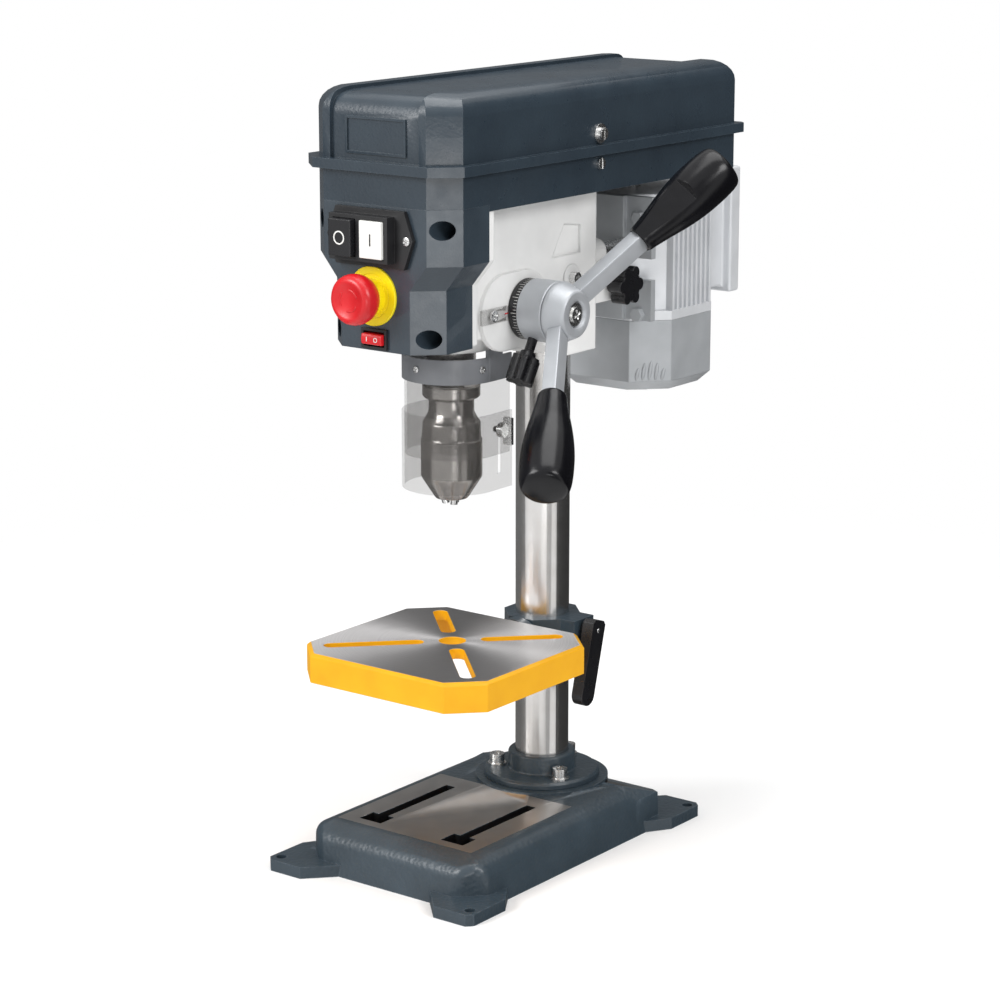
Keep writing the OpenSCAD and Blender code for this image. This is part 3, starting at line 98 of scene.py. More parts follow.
class Finish:
    """A surface finish: one Principled shader, with textures added to it one by one."""

    def __init__(self, name, metallic=0.0, roughness=0.5, specular=0.5, coat=0.0):
        self.material = bpy.data.materials.new(name)
        self.material.use_nodes = True
        self.tree = self.material.node_tree
        self.shader = self.tree.nodes["Principled BSDF"]
        self.shader.inputs["Metallic"].default_value = metallic
        self.shader.inputs["Roughness"].default_value = roughness
        self.shader.inputs["Specular IOR Level"].default_value = specular
        self.shader.inputs["Coat Weight"].default_value = coat
        self.coordinates = self.node("ShaderNodeTexCoord").outputs["Object"]
        self.normal = None

    def node(self, kind, **values):
        """Adds a node and sets its properties."""
        made = self.tree.nodes.new(kind)
        for key, value in values.items():
            setattr(made, key, value)
        return made

    def link(self, start, end):
        """Joins an output to an input."""
        self.tree.links.new(start, end)

    def split(self):
        """Object coordinates as three values."""
        parts = self.node("ShaderNodeSeparateXYZ")
        self.link(self.coordinates, parts.inputs["Vector"])
        return parts.outputs["X"], parts.outputs["Y"], parts.outputs["Z"]

    def stretched(self, stretch):
        """Object coordinates scaled along each axis."""
        mapping = self.node("ShaderNodeMapping", vector_type="POINT")
        mapping.inputs["Scale"].default_value = stretch
        self.link(self.coordinates, mapping.inputs["Vector"])
        return mapping.outputs["Vector"]

    def noise(self, size_mm, detail, vector=None):
        """Grain of about that size, from 0 to 1."""
        texture = self.node("ShaderNodeTexNoise")
        texture.inputs["Scale"].default_value = 1.0 / (size_mm * MM)
        texture.inputs["Detail"].default_value = detail
        self.link(vector or self.coordinates, texture.inputs["Vector"])
        return texture.outputs[0]

    def cells(self, size_mm):
        """Distance from the middle of round cells of that size, for a hammered skin."""
        texture = self.node("ShaderNodeTexVoronoi", feature="SMOOTH_F1")
        texture.inputs["Scale"].default_value = 1.0 / (size_mm * MM)
        texture.inputs["Smoothness"].default_value = CELL_SMOOTHNESS
        self.link(self.coordinates, texture.inputs["Vector"])
        return texture.outputs["Distance"]

    def spread(self, value, low, high, source=TEXTURE_RANGE, curve="LINEAR"):
        """Maps one range of a value onto another."""
        mapped = self.node("ShaderNodeMapRange", interpolation_type=curve)
        mapped.inputs["From Min"].default_value = source[0]
        mapped.inputs["From Max"].default_value = source[1]
        mapped.inputs["To Min"].default_value = low
        mapped.inputs["To Max"].default_value = high
        self.link(value, mapped.inputs["Value"])
        return mapped.outputs["Result"]

    def ramp(self, value, low, high):
        """A colour between two, chosen by a texture."""
        ramp = self.node("ShaderNodeValToRGB")
        for element, position, colour in zip(ramp.color_ramp.elements, TEXTURE_RANGE, (low, high)):
            element.position = position
            element.color = colour
        self.link(value, ramp.inputs["Fac"])
        return ramp.outputs["Color"]

    def blend(self, factor, first, second):
        """A mix of two colours, of the first where the factor is 0."""
        mix = self.node("ShaderNodeMix", data_type="RGBA")
        self.link(factor, mix.inputs[0])
        self.link(first, mix.inputs[MIX_FIRST])
        self.link(second, mix.inputs[MIX_SECOND])
        return mix.outputs[MIX_RESULT]

    def math(self, operation, first, second=0.0):
        """One sum on two values or sockets."""
        made = self.node("ShaderNodeMath", operation=operation)
        for socket, value in zip(made.inputs, (first, second)):
            if isinstance(value, (int, float)):
                socket.default_value = value
            else:
                self.link(value, socket)
        return made.outputs[0]

    def within(self, value, reach_mm):
        """Is 1 where a coordinate lies less than that far from the middle, on either side."""
        return self.math("LESS_THAN", self.math("ABSOLUTE", value), reach_mm * MM)

    def rounded(self, radius_mm):
        """The normal that hard edges would have if they were rounded by that radius."""
        bevel = self.node("ShaderNodeBevel", samples=EDGE_SAMPLES)
        bevel.inputs["Radius"].default_value = radius_mm * MM
        return bevel.outputs["Normal"]

    def soft_edges(self, radius_mm):
        """Rounds the shading of hard edges by that radius."""
        self.normal = self.rounded(radius_mm)

    def edge_mask(self, radius_mm):
        """Is 1 on an edge and 0 on a flat face: the rounded normal set against the true one."""
        geometry = self.node("ShaderNodeNewGeometry")
        dot = self.node("ShaderNodeVectorMath", operation="DOT_PRODUCT")
        self.link(self.rounded(radius_mm), dot.inputs[0])
        self.link(geometry.outputs["True Normal"], dot.inputs[1])
        return self.spread(dot.outputs["Value"], 1.0, 0.0, EDGE_RANGE)

    def bump(self, height, depth_mm):
        """Raises the surface by a texture."""
        bump = self.node("ShaderNodeBump")
        bump.inputs["Distance"].default_value = depth_mm * MM
        bump.inputs["Strength"].default_value = 1.0
        self.link(height, bump.inputs["Height"])
        if self.normal:
            self.link(self.normal, bump.inputs["Normal"])
        self.normal = bump.outputs["Normal"]

    def done(self, colour=None, roughness=None):
        """Joins the colour, roughness and normal to the shader."""
        if colour:
            self.link(colour, self.shader.inputs["Base Color"])
        if roughness:
            self.link(roughness, self.shader.inputs["Roughness"])
        if self.normal:
            self.link(self.normal, self.shader.inputs["Normal"])
        return self.material


# Grain in paint: its size in millimetres and its detail
CLOUDS, WORN_AND_HIGHLIT_GRAIN, PATCHES, SKIN, PAINT_SHINE = (38, 4), (9, 4), (6, 5), (1.1, 2), (14, 4)
SKIN_DEPTH = 0.03
# How much of an edge is lightened, from place to place: partly rubbed paint, partly painted highlight
PATCH_SHARE = (0.1, 0.8)
ENAMEL_GLOSS = {"specular": 0.45, "coat": 0.12}
# Grain in plastic and metal
DRIFT, PLASTIC_SHINE, METAL_CLOUDS = (30, 3), (9, 4), (22, 4)


def worn_and_highlit_colour(paint, edge_mm, dark, light, worn_highlit):
    """The colour of cast-iron paint: cloudy, with its edges lighter in patches, as rubbed paint and as a
    painted highlight.
    """
    body = paint.ramp(paint.noise(*CLOUDS), srgb(*dark), srgb(*light))
    # the lighter edge colour stands partly for rubbed paint and partly for a painted highlight along the edges
    rubbed_and_highlit = paint.ramp(paint.noise(*WORN_AND_HIGHLIT_GRAIN), srgb(*light), srgb(*worn_highlit))
    share = paint.spread(paint.noise(*PATCHES), *PATCH_SHARE)
    return paint.blend(paint.math("MULTIPLY", paint.edge_mask(edge_mm), share), body, rubbed_and_highlit)


def enamel(name, dark, light, worn_highlit, cell_mm, cell_depth, edge_mm, shine):
    """Cast-iron paint: a hammered skin of round cells, cloudy colour, and edges lighter as rubbed paint and
    painted highlight.
    """
    paint = Finish(name, **ENAMEL_GLOSS)
    colour = worn_and_highlit_colour(paint, edge_mm, dark, light, worn_highlit)
    paint.bump(paint.cells(cell_mm), cell_depth)
    paint.bump(paint.noise(*SKIN), SKIN_DEPTH)
    return paint.done(colour, paint.spread(paint.noise(*PAINT_SHINE), *shine))


def plastic(name, dark, light, shine, grain_mm, grain_depth, edge_mm, **gloss):
    """Moulded plastic or powder coat: a faint even grain and a slight drift of colour."""
    skin = Finish(name, **gloss)
    skin.soft_edges(edge_mm)
    skin.bump(skin.noise(grain_mm, 2), grain_depth)
    tone = skin.ramp(skin.noise(*DRIFT), srgb(*dark), srgb(*light))
    return skin.done(tone, skin.spread(skin.noise(*PLASTIC_SHINE), *shine))


def brushed(name, dark, light, shine, stretch, line_mm, depth_mm, edge_mm=0.4):
    """Worked metal: fine lines drawn out across the stretched axes, with cloudy shine."""
    metal = Finish(name, metallic=1.0)
    metal.soft_edges(edge_mm)
    lines = metal.noise(line_mm, 3, metal.stretched(stretch))
    metal.bump(lines, depth_mm)
    tone = metal.ramp(metal.noise(*METAL_CLOUDS), (*dark, 1), (*light, 1))
    return metal.done(tone, metal.spread(lines, *shine))


# Paint on castings: dark and light colour, the lighter edge colour for rubbed paint and painted highlight, size
# and depth of the cells, edge radius, roughness
CAST_COLOURS = (46, 57, 65), (54, 66, 75), (108, 120, 130)
HOUSING_COLOURS = (41, 51, 60), (46, 57, 66), (96, 108, 118)
cast_paint = enamel("cast_paint", *CAST_COLOURS, 3.2, 0.18, 1.6, (0.28, 0.42))
housing_paint = enamel("housing_paint", *HOUSING_COLOURS, 2.6, 0.08, 1.0, (0.26, 0.36))

# Plastic and powder coat: dark and light colour, roughness, size and depth of the grain, edge radius
shell_plastic = plastic("shell_plastic", (44, 54, 63), (51, 62, 71), (0.30, 0.40), 1.8, 0.16, 0.8, coat=0.3)
head_paint = plastic("head_paint", (222, 222, 221), (232, 232, 231), (0.34, 0.46), 1.8, 0.03, 2.0)
# The motor's one grey paint in two copies: a lighter one on the body, its fins and the box, as painted light,
# and a darker one on the case and bracket, as painted shade
motor_paint = plastic("motor_paint", (206, 208, 211), (216, 218, 221), (0.36, 0.46), 1.2, 0.04, 1.0,
                      metallic=0.25)
shaded_motor_paint = plastic("shaded_motor_paint", (160, 163, 166), (172, 175, 178), (0.34, 0.44), 1.2, 0.05, 1.0,
                     metallic=0.25)
silver_paint = plastic("silver_paint", (172, 175, 179), (184, 187, 191), (0.42, 0.52), 0.7, 0.012, 0.8,
                       metallic=0.45)
black_plastic = plastic("black_plastic", (16, 16, 19), (24, 24, 27), (0.24, 0.36), 1.0, 0.01, 0.8)
satin_black = plastic("satin_black", (20, 20, 22), (30, 30, 32), (0.42, 0.56), 0.7, 0.03, 0.6)
grip_black = plastic("grip_black", (9, 9, 12), (14, 14, 18), (0.19, 0.27), 2.5, 0.006, 0.6, specular=0.28)
guard_grey = plastic("guard_grey", (104, 106, 110), (122, 124, 128), (0.30, 0.42), 0.9, 0.02, 0.5)
red_plastic = plastic("red_plastic", (190, 18, 26), (212, 26, 34), (0.28, 0.38), 1.2, 0.01, 0.8)
yellow_plastic = plastic("yellow_plastic", (238, 214, 6), (250, 228, 14), (0.36, 0.46), 1.0, 0.01, 0.3)
white_plastic = plastic("white_plastic", (226, 226, 222), (238, 238, 234), (0.30, 0.40), 1.0, 0.01, 0.6)
belt_rubber = plastic("belt_rubber", (26, 26, 27), (38, 38, 39), (0.6, 0.75), 0.6, 0.06, 0.3)

# Metal: dark and light reflection, roughness, stretch, size and depth of the lines
PLAIN, TURNED, ROLLED = (1, 1, 1), (0.1, 0.1, 3), (0.05, 0.05, 3)
bright_steel = brushed("bright_steel", (0.66, 0.66, 0.66), (0.78, 0.78, 0.77), (0.20, 0.34), PLAIN,
                       2.0, 0.006)
column_steel = brushed("column_steel", (0.70, 0.68, 0.66), (0.76, 0.75, 0.74), (0.235, 0.255), ROLLED,
                       2.0, 0.0006)
chuck_steel = brushed("chuck_steel", (0.36, 0.345, 0.33), (0.46, 0.44, 0.42), (0.18, 0.26), TURNED,
                      1.5, 0.002)
black_steel = brushed("black_steel", (0.05, 0.05, 0.05), (0.10, 0.10, 0.10), (0.35, 0.5), PLAIN, 1.5, 0.01)
alloy = brushed("alloy", (0.55, 0.56, 0.57), (0.61, 0.62, 0.63), (0.36, 0.46), PLAIN, 0.7, 0.012, 0.8)


def clear_sheet(name, colour, alpha, shine):
    """Smoked clear plastic: mostly see-through, with a glossy skin and faint smears."""
    sheet = Finish(name)
    sheet.shader.inputs["Alpha"].default_value = alpha
    smeared = tuple(min(1.0, 1.08 * value) for value in colour)
    tone = sheet.ramp(sheet.noise(*DRIFT), colour, smeared)
    return sheet.done(tone, sheet.spread(sheet.noise(12, 4), *shine))


clear_plastic = clear_sheet("clear_plastic", srgb(96, 93, 90), 0.19, (0.05, 0.14))

# A machined face is bare steel in a thin layer, from just under its height to just over it
FACE_UNDER, FACE_OVER = 0.12, 0.2


def ground_face(finish, height, face_mm):
    """A mask for a bare machined face on a painted finish: steel shows from just under that height, in the
    part's own frame, so that it turns with the part."""
    return finish.math("GREATER_THAN", height, (face_mm - FACE_UNDER) * MM)


# The turned face of the table: size of the rings, and the stretch of highlights along them
RING_MM, RING_GLINT = 0.9, 0.75


def table_finish():
    """Glossy yellow paint with a turned steel face, ringed about the spindle axis."""
    paint = Finish("table_paint", specular=0.35, coat=0.05)
    x, y, z = paint.split()
    steel = ground_face(paint, z, TABLE_FACE)
    across = paint.math("ADD", y, -SPINDLE_Y * MM)
    squares = paint.math("ADD", paint.math("MULTIPLY", x, x), paint.math("MULTIPLY", across, across))
    ringed = paint.node("ShaderNodeCombineXYZ")
    paint.link(paint.math("SQRT", squares), ringed.inputs["X"])
    rings = paint.noise(RING_MM, 2, ringed.outputs["Vector"])
    around = paint.node("ShaderNodeCombineXYZ")
    paint.link(paint.math("MULTIPLY", across, -1.0), around.inputs["X"])
    paint.link(x, around.inputs["Y"])
    paint.link(around.outputs["Vector"], paint.shader.inputs["Tangent"])
    paint.shader.inputs["Anisotropic"].default_value = RING_GLINT
    paint.bump(paint.noise(2.2, 2), 0.015)
    yellow = paint.ramp(paint.noise(*DRIFT), srgb(224, 160, 6), srgb(231, 170, 10))
    bare = paint.ramp(rings, (0.42, 0.41, 0.41, 1), (0.53, 0.52, 0.52, 1))
    paint.link(steel, paint.shader.inputs["Metallic"])
    return paint.done(paint.blend(steel, yellow, bare), paint.spread(paint.noise(10, 4), 0.50, 0.55))


# The ground work face on the base: how far it lies under the base's top, and its rear edge
WORK_DROP, WORK_REAR = 2.0, 22.0
# The slots in it: the area that holds them, either side of the middle, and the depth from which their insides
# are painted near black as painted shade
SLOT_AREA, SLOT_SHADE_DEPTH = (70.0, 115.0), 0.6


def base_finish():
    """The cast paint with a ground steel work face in front of the column, and painted shade inside the slots.
    """
    paint = Finish("base_paint", **ENAMEL_GLOSS)
    x, y, z = paint.split()
    work_top = BASE_HIGH[2] - WORK_DROP
    ahead = paint.math("LESS_THAN", y, WORK_REAR * MM)
    low = paint.math("LESS_THAN", z, (work_top + FACE_OVER) * MM)
    steel = paint.math("MULTIPLY", ground_face(paint, z, work_top), paint.math("MULTIPLY", ahead, low))
    painted = paint.math("SUBTRACT", 1.0, steel)
    paint.bump(paint.math("MULTIPLY", paint.cells(3.4), painted), 0.22)
    scratches = paint.noise(1.0, 3, paint.stretched((6, 0.2, 1)))
    paint.bump(paint.math("MULTIPLY", scratches, steel), 0.006)
    # edges lighter in patches: rubbed paint and painted highlight
    skin = worn_and_highlit_colour(paint, 2.0, *CAST_COLOURS)
    # painted shade: inside the slots, below the work face, the paint is coloured near black
    area = paint.math("MULTIPLY", paint.within(x, SLOT_AREA[0]), paint.within(y, SLOT_AREA[1]))
    slot_shade = paint.math("MULTIPLY", area, paint.math("LESS_THAN", z, (work_top - SLOT_SHADE_DEPTH) * MM))
    skin = paint.blend(slot_shade, skin, paint.ramp(paint.noise(6, 3), srgb(10, 10, 11), srgb(20, 20, 21)))
    bare = paint.ramp(paint.noise(18, 5), (0.43, 0.42, 0.41, 1), (0.47, 0.46, 0.45, 1))
    paint.link(steel, paint.shader.inputs["Metallic"])
    return paint.done(paint.blend(steel, skin, bare), paint.spread(paint.noise(*PAINT_SHINE), 0.31, 0.38))


table_paint = table_finish()
base_paint = base_finish()

DRESS = {
    base_paint: ["base_casting"],
    cast_paint: ["column_flange", "table_bracket"],
    housing_paint: ["belt_housing", "belt_cover"],
    shell_plastic: ["front_cover"],
    head_paint: ["head_casting"],
    table_paint: ["table_top"],
    column_steel: ["column", "spindle", "quill"],
    bright_steel: ["socket_bolts", "flange_washers", "housing_pins", "cover_latch", "hub_screw", "tilt_bolt",
                   "wing_screw", "slide_rods", "sleeve_bearings", "quill_bearings", "feed_bush",
                   "feed_shaft", "chuck_jaw_a", "chuck_jaw_b", "chuck_jaw_c", "motor_core", "rotor",
                   "return_spring"],
    chuck_steel: ["chuck_body", "chuck_sleeve"],
    black_steel: ["cover_screws"],
    alloy: ["spindle_pulley", "motor_pulley"],
    silver_paint: ["feed_hub", "lever_bars", "depth_ring"],
    # the lighter copy of the motor paint is painted light, the darker copy on the next line painted shade
    motor_paint: ["motor_body", "terminal_box"],
    shaded_motor_paint: ["motor_case", "motor_bracket"],
    black_plastic: ["clamp_lever", "depth_knob", "tension_knob", "off_button"],
    satin_black: ["spring_cap", "switch_plate", "control_blocks", "depth_scale", "guard_hinge"],
    grip_black: ["lever_grips"],
    guard_grey: ["guard_band"],
    red_plastic: ["estop_button", "rocker"],
    yellow_plastic: ["estop_disc"],
    white_plastic: ["on_button"],
    clear_plastic: ["guard_shield", "guard_slider", "pointer"],
    belt_rubber: ["v_belt"],
}
BODIES = frame["record"]["behaviour"]["bodies"]
BODY_OF = {node: body for body, nodes in BODIES.items() for node in nodes}
FINISH_OF = {node: finish for finish, names in DRESS.items() for node in names}
for node, finish in FINISH_OF.items():
    NODES[node].data.materials.clear()
    NODES[node].data.materials.append(finish)


# Meshes

# Points this close are one point, and triangles within this many degrees of one plane are one face
WELD_MM, FLAT_DEG = 0.002, 0.6
# Edges that turn by more than this are rounded over, or are left crisp on a round piece
HARD_DEG, CRISP_DEG = 32.0, 21.0
EDGE_SEGMENTS = 3


def join_and_face(mesh, join_flat=False):
    """Merges doubles, joins triangles that lie in one plane if asked to, and turns every face outwards."""
    work = bmesh.new()
    work.from_mesh(mesh)
    bmesh.ops.remove_doubles(work, verts=work.verts, dist=WELD_MM * MM)
    if join_flat:
        limit = math.radians(FLAT_DEG)
        bmesh.ops.dissolve_limit(work, angle_limit=limit, verts=work.verts, edges=work.edges)
    bmesh.ops.recalc_face_normals(work, faces=work.faces)
    work.to_mesh(mesh)
    work.free()


def shade(mesh, sharp_deg):
    """Smooth shading that stays crisp at edges sharper than that angle."""
    mesh.shade_smooth()
    mesh.set_sharp_from_angle(angle=math.radians(sharp_deg))


def show(name, data):
    """Makes an object of a mesh, a lamp or a camera, and puts it in the scene."""
    made = bpy.data.objects.new(name, data)
    bpy.context.scene.collection.objects.link(made)
    return made


def place(name, mesh, body, finish):
    """Puts a finished mesh in the scene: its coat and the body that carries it."""
    mesh.materials.clear()
    mesh.materials.append(finish)
    piece = show(name, mesh)
    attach(piece, body)
    return piece


def stand_in(node, ending, mesh):
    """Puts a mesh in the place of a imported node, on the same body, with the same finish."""
    piece = place(node + ending, mesh, BODY_OF[node], FINISH_OF[node])
    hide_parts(node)
    return piece


def round_over(piece, radius_mm, segments, limit):
    """Rounds the edges of a piece, chosen by their angle or by a weight."""
    rounding = piece.modifiers.new("rounding", "BEVEL")
    rounding.width = radius_mm * MM
    rounding.segments = segments
    rounding.limit_method = limit
    rounding.harden_normals = True
    return rounding


def soften(node, radius_mm):
    """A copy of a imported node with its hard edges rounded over, in the node's place."""
    mesh = NODES[node].data.copy()
    join_and_face(mesh, True)
    shade(mesh, HARD_DEG)
    rounding = round_over(stand_in(node, "_soft", mesh), radius_mm, EDGE_SEGMENTS, "ANGLE")
    rounding.angle_limit = math.radians(HARD_DEG)


EDGE_RADII = {
    "table_top": 1.6, "table_bracket": 2.0, "column_flange": 1.0, "clamp_lever": 2.5,
    "belt_housing": 1.6, "belt_cover": 3.0, "switch_plate": 1.2, "on_button": 1.6,
    "off_button": 2.4, "rocker": 0.8, "motor_body": 0.8, "motor_case": 2.0, "motor_bracket": 1.0,
    "terminal_box": 2.5, "depth_knob": 0.8, "tension_knob": 1.2,
}
for node, radius in EDGE_RADII.items():
    soften(node, radius)


def edge_turns(mesh):
    """The angle in degrees between the two faces at each edge: pairs of face normals put in the order of the
    edges that their loops run along, and the arc cosine of their dot products."""
    loop_edges = np.empty(len(mesh.loops), dtype=int)
    mesh.loops.foreach_get("edge_index", loop_edges)
    counts = np.empty(len(mesh.polygons), dtype=int)
    mesh.polygons.foreach_get("loop_total", counts)
    normals = np.empty(3 * len(mesh.polygons))
    mesh.polygons.foreach_get("normal", normals)
    facing = np.repeat(normals.reshape(-1, 3), counts, axis=0)[np.argsort(loop_edges, kind="stable")]
    met = np.bincount(loop_edges, minlength=len(mesh.edges))
    first = np.minimum(np.cumsum(met) - met, len(facing) - 2)
    dots = np.einsum("ij,ij->i", facing[first], facing[first + 1])
    return np.where(met == 2, np.degrees(np.arccos(np.clip(dots, -1, 1))), 0.0)


def cut_across(mesh, y_mm):
    """Puts edges where a plane across the part meets it, without changing its shape."""
    work = bmesh.new()
    work.from_mesh(mesh)
    everything = work.verts[:] + work.edges[:] + work.faces[:]
    spot = (0, y_mm * MM, 0)
    bmesh.ops.bisect_plane(work, geom=everything, dist=0.001 * MM, plane_co=spot, plane_no=(0, 1, 0))
    work.to_mesh(mesh)
    work.free()


# The crest of the base: how far in from the tips of the feet it lies, and the height above which it starts
CREST_IN, FOOT_TOP = (33.0, 45.0), 15.0
# Where its rounding ends, ahead of the rear slope
CREST_END = COLUMN_Y + 10.0
# The radius and steps of the rounding, and the turns from which an edge is rounded and is crisp
CREST_RADIUS, CREST_SEGMENTS, CREST_TURN, CREST_CRISP = 7.0, 4, 14.0, 18.0


def round_base():
    """The base with its crest and front corners rounded generously; the slots, work face and feet stay crisp.
    Which edges are rounded goes in a weight."""
    mesh = NODES["base_casting"].data.copy()
    join_and_face(mesh, True)
    cut_across(mesh, CREST_END)
    shade(mesh, CREST_CRISP)
    spots = np.empty(3 * len(mesh.vertices))
    mesh.vertices.foreach_get("co", spots)
    ends = np.empty(2 * len(mesh.edges), dtype=int)
    mesh.edges.foreach_get("vertices", ends)
    middle = spots.reshape(-1, 3)[ends.reshape(-1, 2)].mean(axis=1) / MM
    sharp = edge_turns(mesh) > CREST_TURN
    beside = np.abs(middle[:, 0]) > BASE_HIGH[0] - CREST_IN[0]
    beyond = np.abs(middle[:, 1]) > BASE_HIGH[1] - CREST_IN[1]
    rear = middle[:, 1] > CREST_END
    weight = ((beside | beyond) & ~rear & (middle[:, 2] > FOOT_TOP) & sharp).astype(float)
    mesh.attributes.new("bevel_weight_edge", "FLOAT", "EDGE").data.foreach_set("value", weight)
    rounding = round_over(stand_in("base_casting", "_soft", mesh), CREST_RADIUS, CREST_SEGMENTS, "WEIGHT")
    rounding.use_clamp_overlap = False
    rounding.loop_slide = False


round_base()


def smooth(node):
    """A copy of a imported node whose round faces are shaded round, in the node's place."""
    mesh = NODES[node].data.copy()
    join_and_face(mesh)
    shade(mesh, CRISP_DEG)
    stand_in(node, "_round", mesh)


for node in ("column", "quill", "spindle", "chuck_body", "chuck_sleeve", "feed_hub", "depth_ring",
             "depth_scale", "spring_cap", "guard_band", "guard_shield", "guard_slider", "spindle_pulley",
             "motor_pulley", "v_belt", "socket_bolts", "flange_washers", "housing_pins", "slide_rods",
             "hub_screw", "wing_screw"):
    smooth(node)


# Finer pieces

TOWARD_FRONT, TOWARD_RIGHT, UPWARD = (0.0, -1.0, 0.0), (1.0, 0.0, 0.0), (0.0, 0.0, 1.0)


def grid_faces(rows, columns, wrap):
    """Quads between neighbouring rows and columns of a grid; wrap joins the last column to the first."""
    here = np.arange(rows - 1)[:, None] * columns
    there = here + columns
    column = np.arange(columns if wrap else columns - 1)[None, :]
    following = (column + 1) % columns
    quads = np.stack([here + column, here + following, there + following, there + column], axis=-1)
    return quads.reshape(-1, 4)


def surface(name, grids, body, finish, wrap=True, sharp_deg=35.0):
    """Makes one piece from grids of points in millimetres, each of rows by columns by three."""
    points, faces, count = [], [], 0
    for grid in grids:
        rows, columns = grid.shape[:2]
        points.append(grid.reshape(-1, 3) * MM)
        faces.append(grid_faces(rows, columns, wrap) + count)
        count += rows * columns
    mesh = bpy.data.meshes.new(name)
    mesh.from_pydata(np.concatenate(points).tolist(), [], np.concatenate(faces).tolist())
    mesh.update()
    join_and_face(mesh)
    shade(mesh, sharp_deg)
    return place(name, mesh, body, finish)


def thicken(piece, thickness_mm, offset=0.0):
    """Gives a sheet its thickness, half to each side unless an offset moves it."""
    depth = piece.modifiers.new("depth", "SOLIDIFY")
    depth.thickness = thickness_mm * MM
    depth.offset = offset


def bar_mark(name, x, y, z, thickness_mm, body, finish):
    """A thin upright bar: four corners between two heights, and between two places across. A coordinate that
    is the same all over the bar is one number."""
    spots = np.empty((2, 2, 3))
    spots[..., 0] = x
    spots[..., 1] = y
    spots[..., 2] = np.array(z)[:, None]
    thicken(surface(name, [spots], body, finish, wrap=False), thickness_mm)


def axes_from(axis):
    """Three unit directions: along an axis, and two that are square to it and to each other."""
    along = np.array(axis, dtype=float) / np.linalg.norm(axis)
    side = np.cross(along, UPWARD)
    side /= np.linalg.norm(side)
    return along, side, np.cross(side, along)


def smooth_profile(points, steps):
    """A curve through the given points: a cubic between each pair whose slopes come from their neighbours."""
    knots = np.array(points, dtype=float)
    padded = np.concatenate([2 * knots[:1] - knots[1:2], knots, 2 * knots[-1:] - knots[-2:-1]])
    slope = (padded[2:] - padded[:-2]) / 2
    t = np.linspace(0, 1, steps, endpoint=False)[None, :, None]
    start, end = knots[:-1, None], knots[1:, None]
    leave, arrive = slope[:-1, None], slope[1:, None]
    curve = ((2 * t**3 - 3 * t**2 + 1) * start + (t**3 - 2 * t**2 + t) * leave
             + (3 * t**2 - 2 * t**3) * end + (t**3 - t**2) * arrive)
    return np.concatenate([curve.reshape(-1, 2), knots[-1:]])


def revolve(profile, origin, axis, turns=64):
    """A profile of radius and height turned about an axis: origin plus height along the axis, plus radius
    times the cosine and sine of the turn."""
    along, side, other = axes_from(axis)
    turn = np.linspace(0, 2 * np.pi, turns, endpoint=False)[None, :, None]
    outline = np.array(profile)
    radius, height = outline[:, 0, None, None], outline[:, 1, None, None]
    return np.array(origin) + height * along + radius * (np.cos(turn) * side + np.sin(turn) * other)


# A cross recess, in shares of the head's radius: half the width and half the length of an arm
ARM_WIDE, ARM_LONG = 0.14, 0.62
# where it starts and the span in which it falls, against the arm's edge at 1, then its depth and the dome's
# fall as shares of the height
CROSS_START, CROSS_FALL, CROSS_DEPTH, DOME_FALL = 1.15, 0.3, 0.6, 0.3
CROSS_SPIN = np.radians(20.0)
# the rings of the head, from its middle to its rim, and from there down and back under it
HEAD_RINGS = np.concatenate([np.linspace(0, 0.92, 16), [1.0, 1.0, 0.0]])[:, None]


def cross_head(origin, axis, radius, height):
    """A domed screw head with a cross recess: the dome's height over the disc, less the recess where either
    arm of the cross is crossed."""
    along, side, other = axes_from(axis)
    turn = np.linspace(0, 2 * np.pi, 64, endpoint=False)[None, :]
    first = np.abs(HEAD_RINGS * np.cos(turn + CROSS_SPIN))
    second = np.abs(HEAD_RINGS * np.sin(turn + CROSS_SPIN))
    arm = np.minimum(np.maximum(first / ARM_WIDE, second / ARM_LONG),
                     np.maximum(second / ARM_WIDE, first / ARM_LONG))
    recess = np.clip((CROSS_START - arm) / CROSS_FALL, 0, 1)
    lift = height * (1 - DOME_FALL * HEAD_RINGS**2) - CROSS_DEPTH * height * recess
    lift[-2:] = 0.0
    out = np.cos(turn)[..., None] * side + np.sin(turn)[..., None] * other
    return np.array(origin) + lift[..., None] * along + radius * HEAD_RINGS[..., None] * out


def screw_set(name, spots, body):
    """Several cross-head screws in one piece; each spot is an origin, an axis, a radius and a height."""
    heads = [cross_head(*spot) for spot in spots]
    surface(name, heads, body, bright_steel, sharp_deg=40.0)


# Levers: a square bar and a drop-shaped grip with a flat panel, twice about the hub
LEVER_LEAN = math.radians(24.5)
LEVER_ANGLES = (math.radians(42.7), math.radians(222.7))
LEVER_X = SCALE_HIGH[0] + 24.3
GRIP_START, GRIP_END = 87.0, 181.0
GRIP_OUTLINE = [(10.4, 0.0), (11.6, 0.02), (12.6, 0.09), (14.9, 0.22), (17.6, 0.36), (19.7, 0.5),
                (20.8, 0.63), (21.0, 0.75), (20.7, 0.85), (20.0, 0.92), (18.6, 0.965), (15.6, 0.988),
                (8.0, 0.998), (0.0, 1.0)]
GRIP_STEPS = 14
# the panel: its depth at the collar and where it ends, how far along it ends, and how fast it runs out there
PANEL_DEPTH, PANEL_END, PANEL_RISE = (10.2, 16.6), 0.56, 115.0
PANEL_TURN = math.radians(62.0)
# the columns of the grid across the panel and round the rest, and half the angle that the panel always keeps
PANEL_COLUMNS, ROUND_COLUMNS, PANEL_LEAST = 20, 76, 0.12
BAR_WIDE, BAR_THICK, BAR_CORNER, BAR_COLUMNS = 16.0, 12.0, 0.9, 32
BAR_START, BAR_END = 13.0, GRIP_START + 5.0


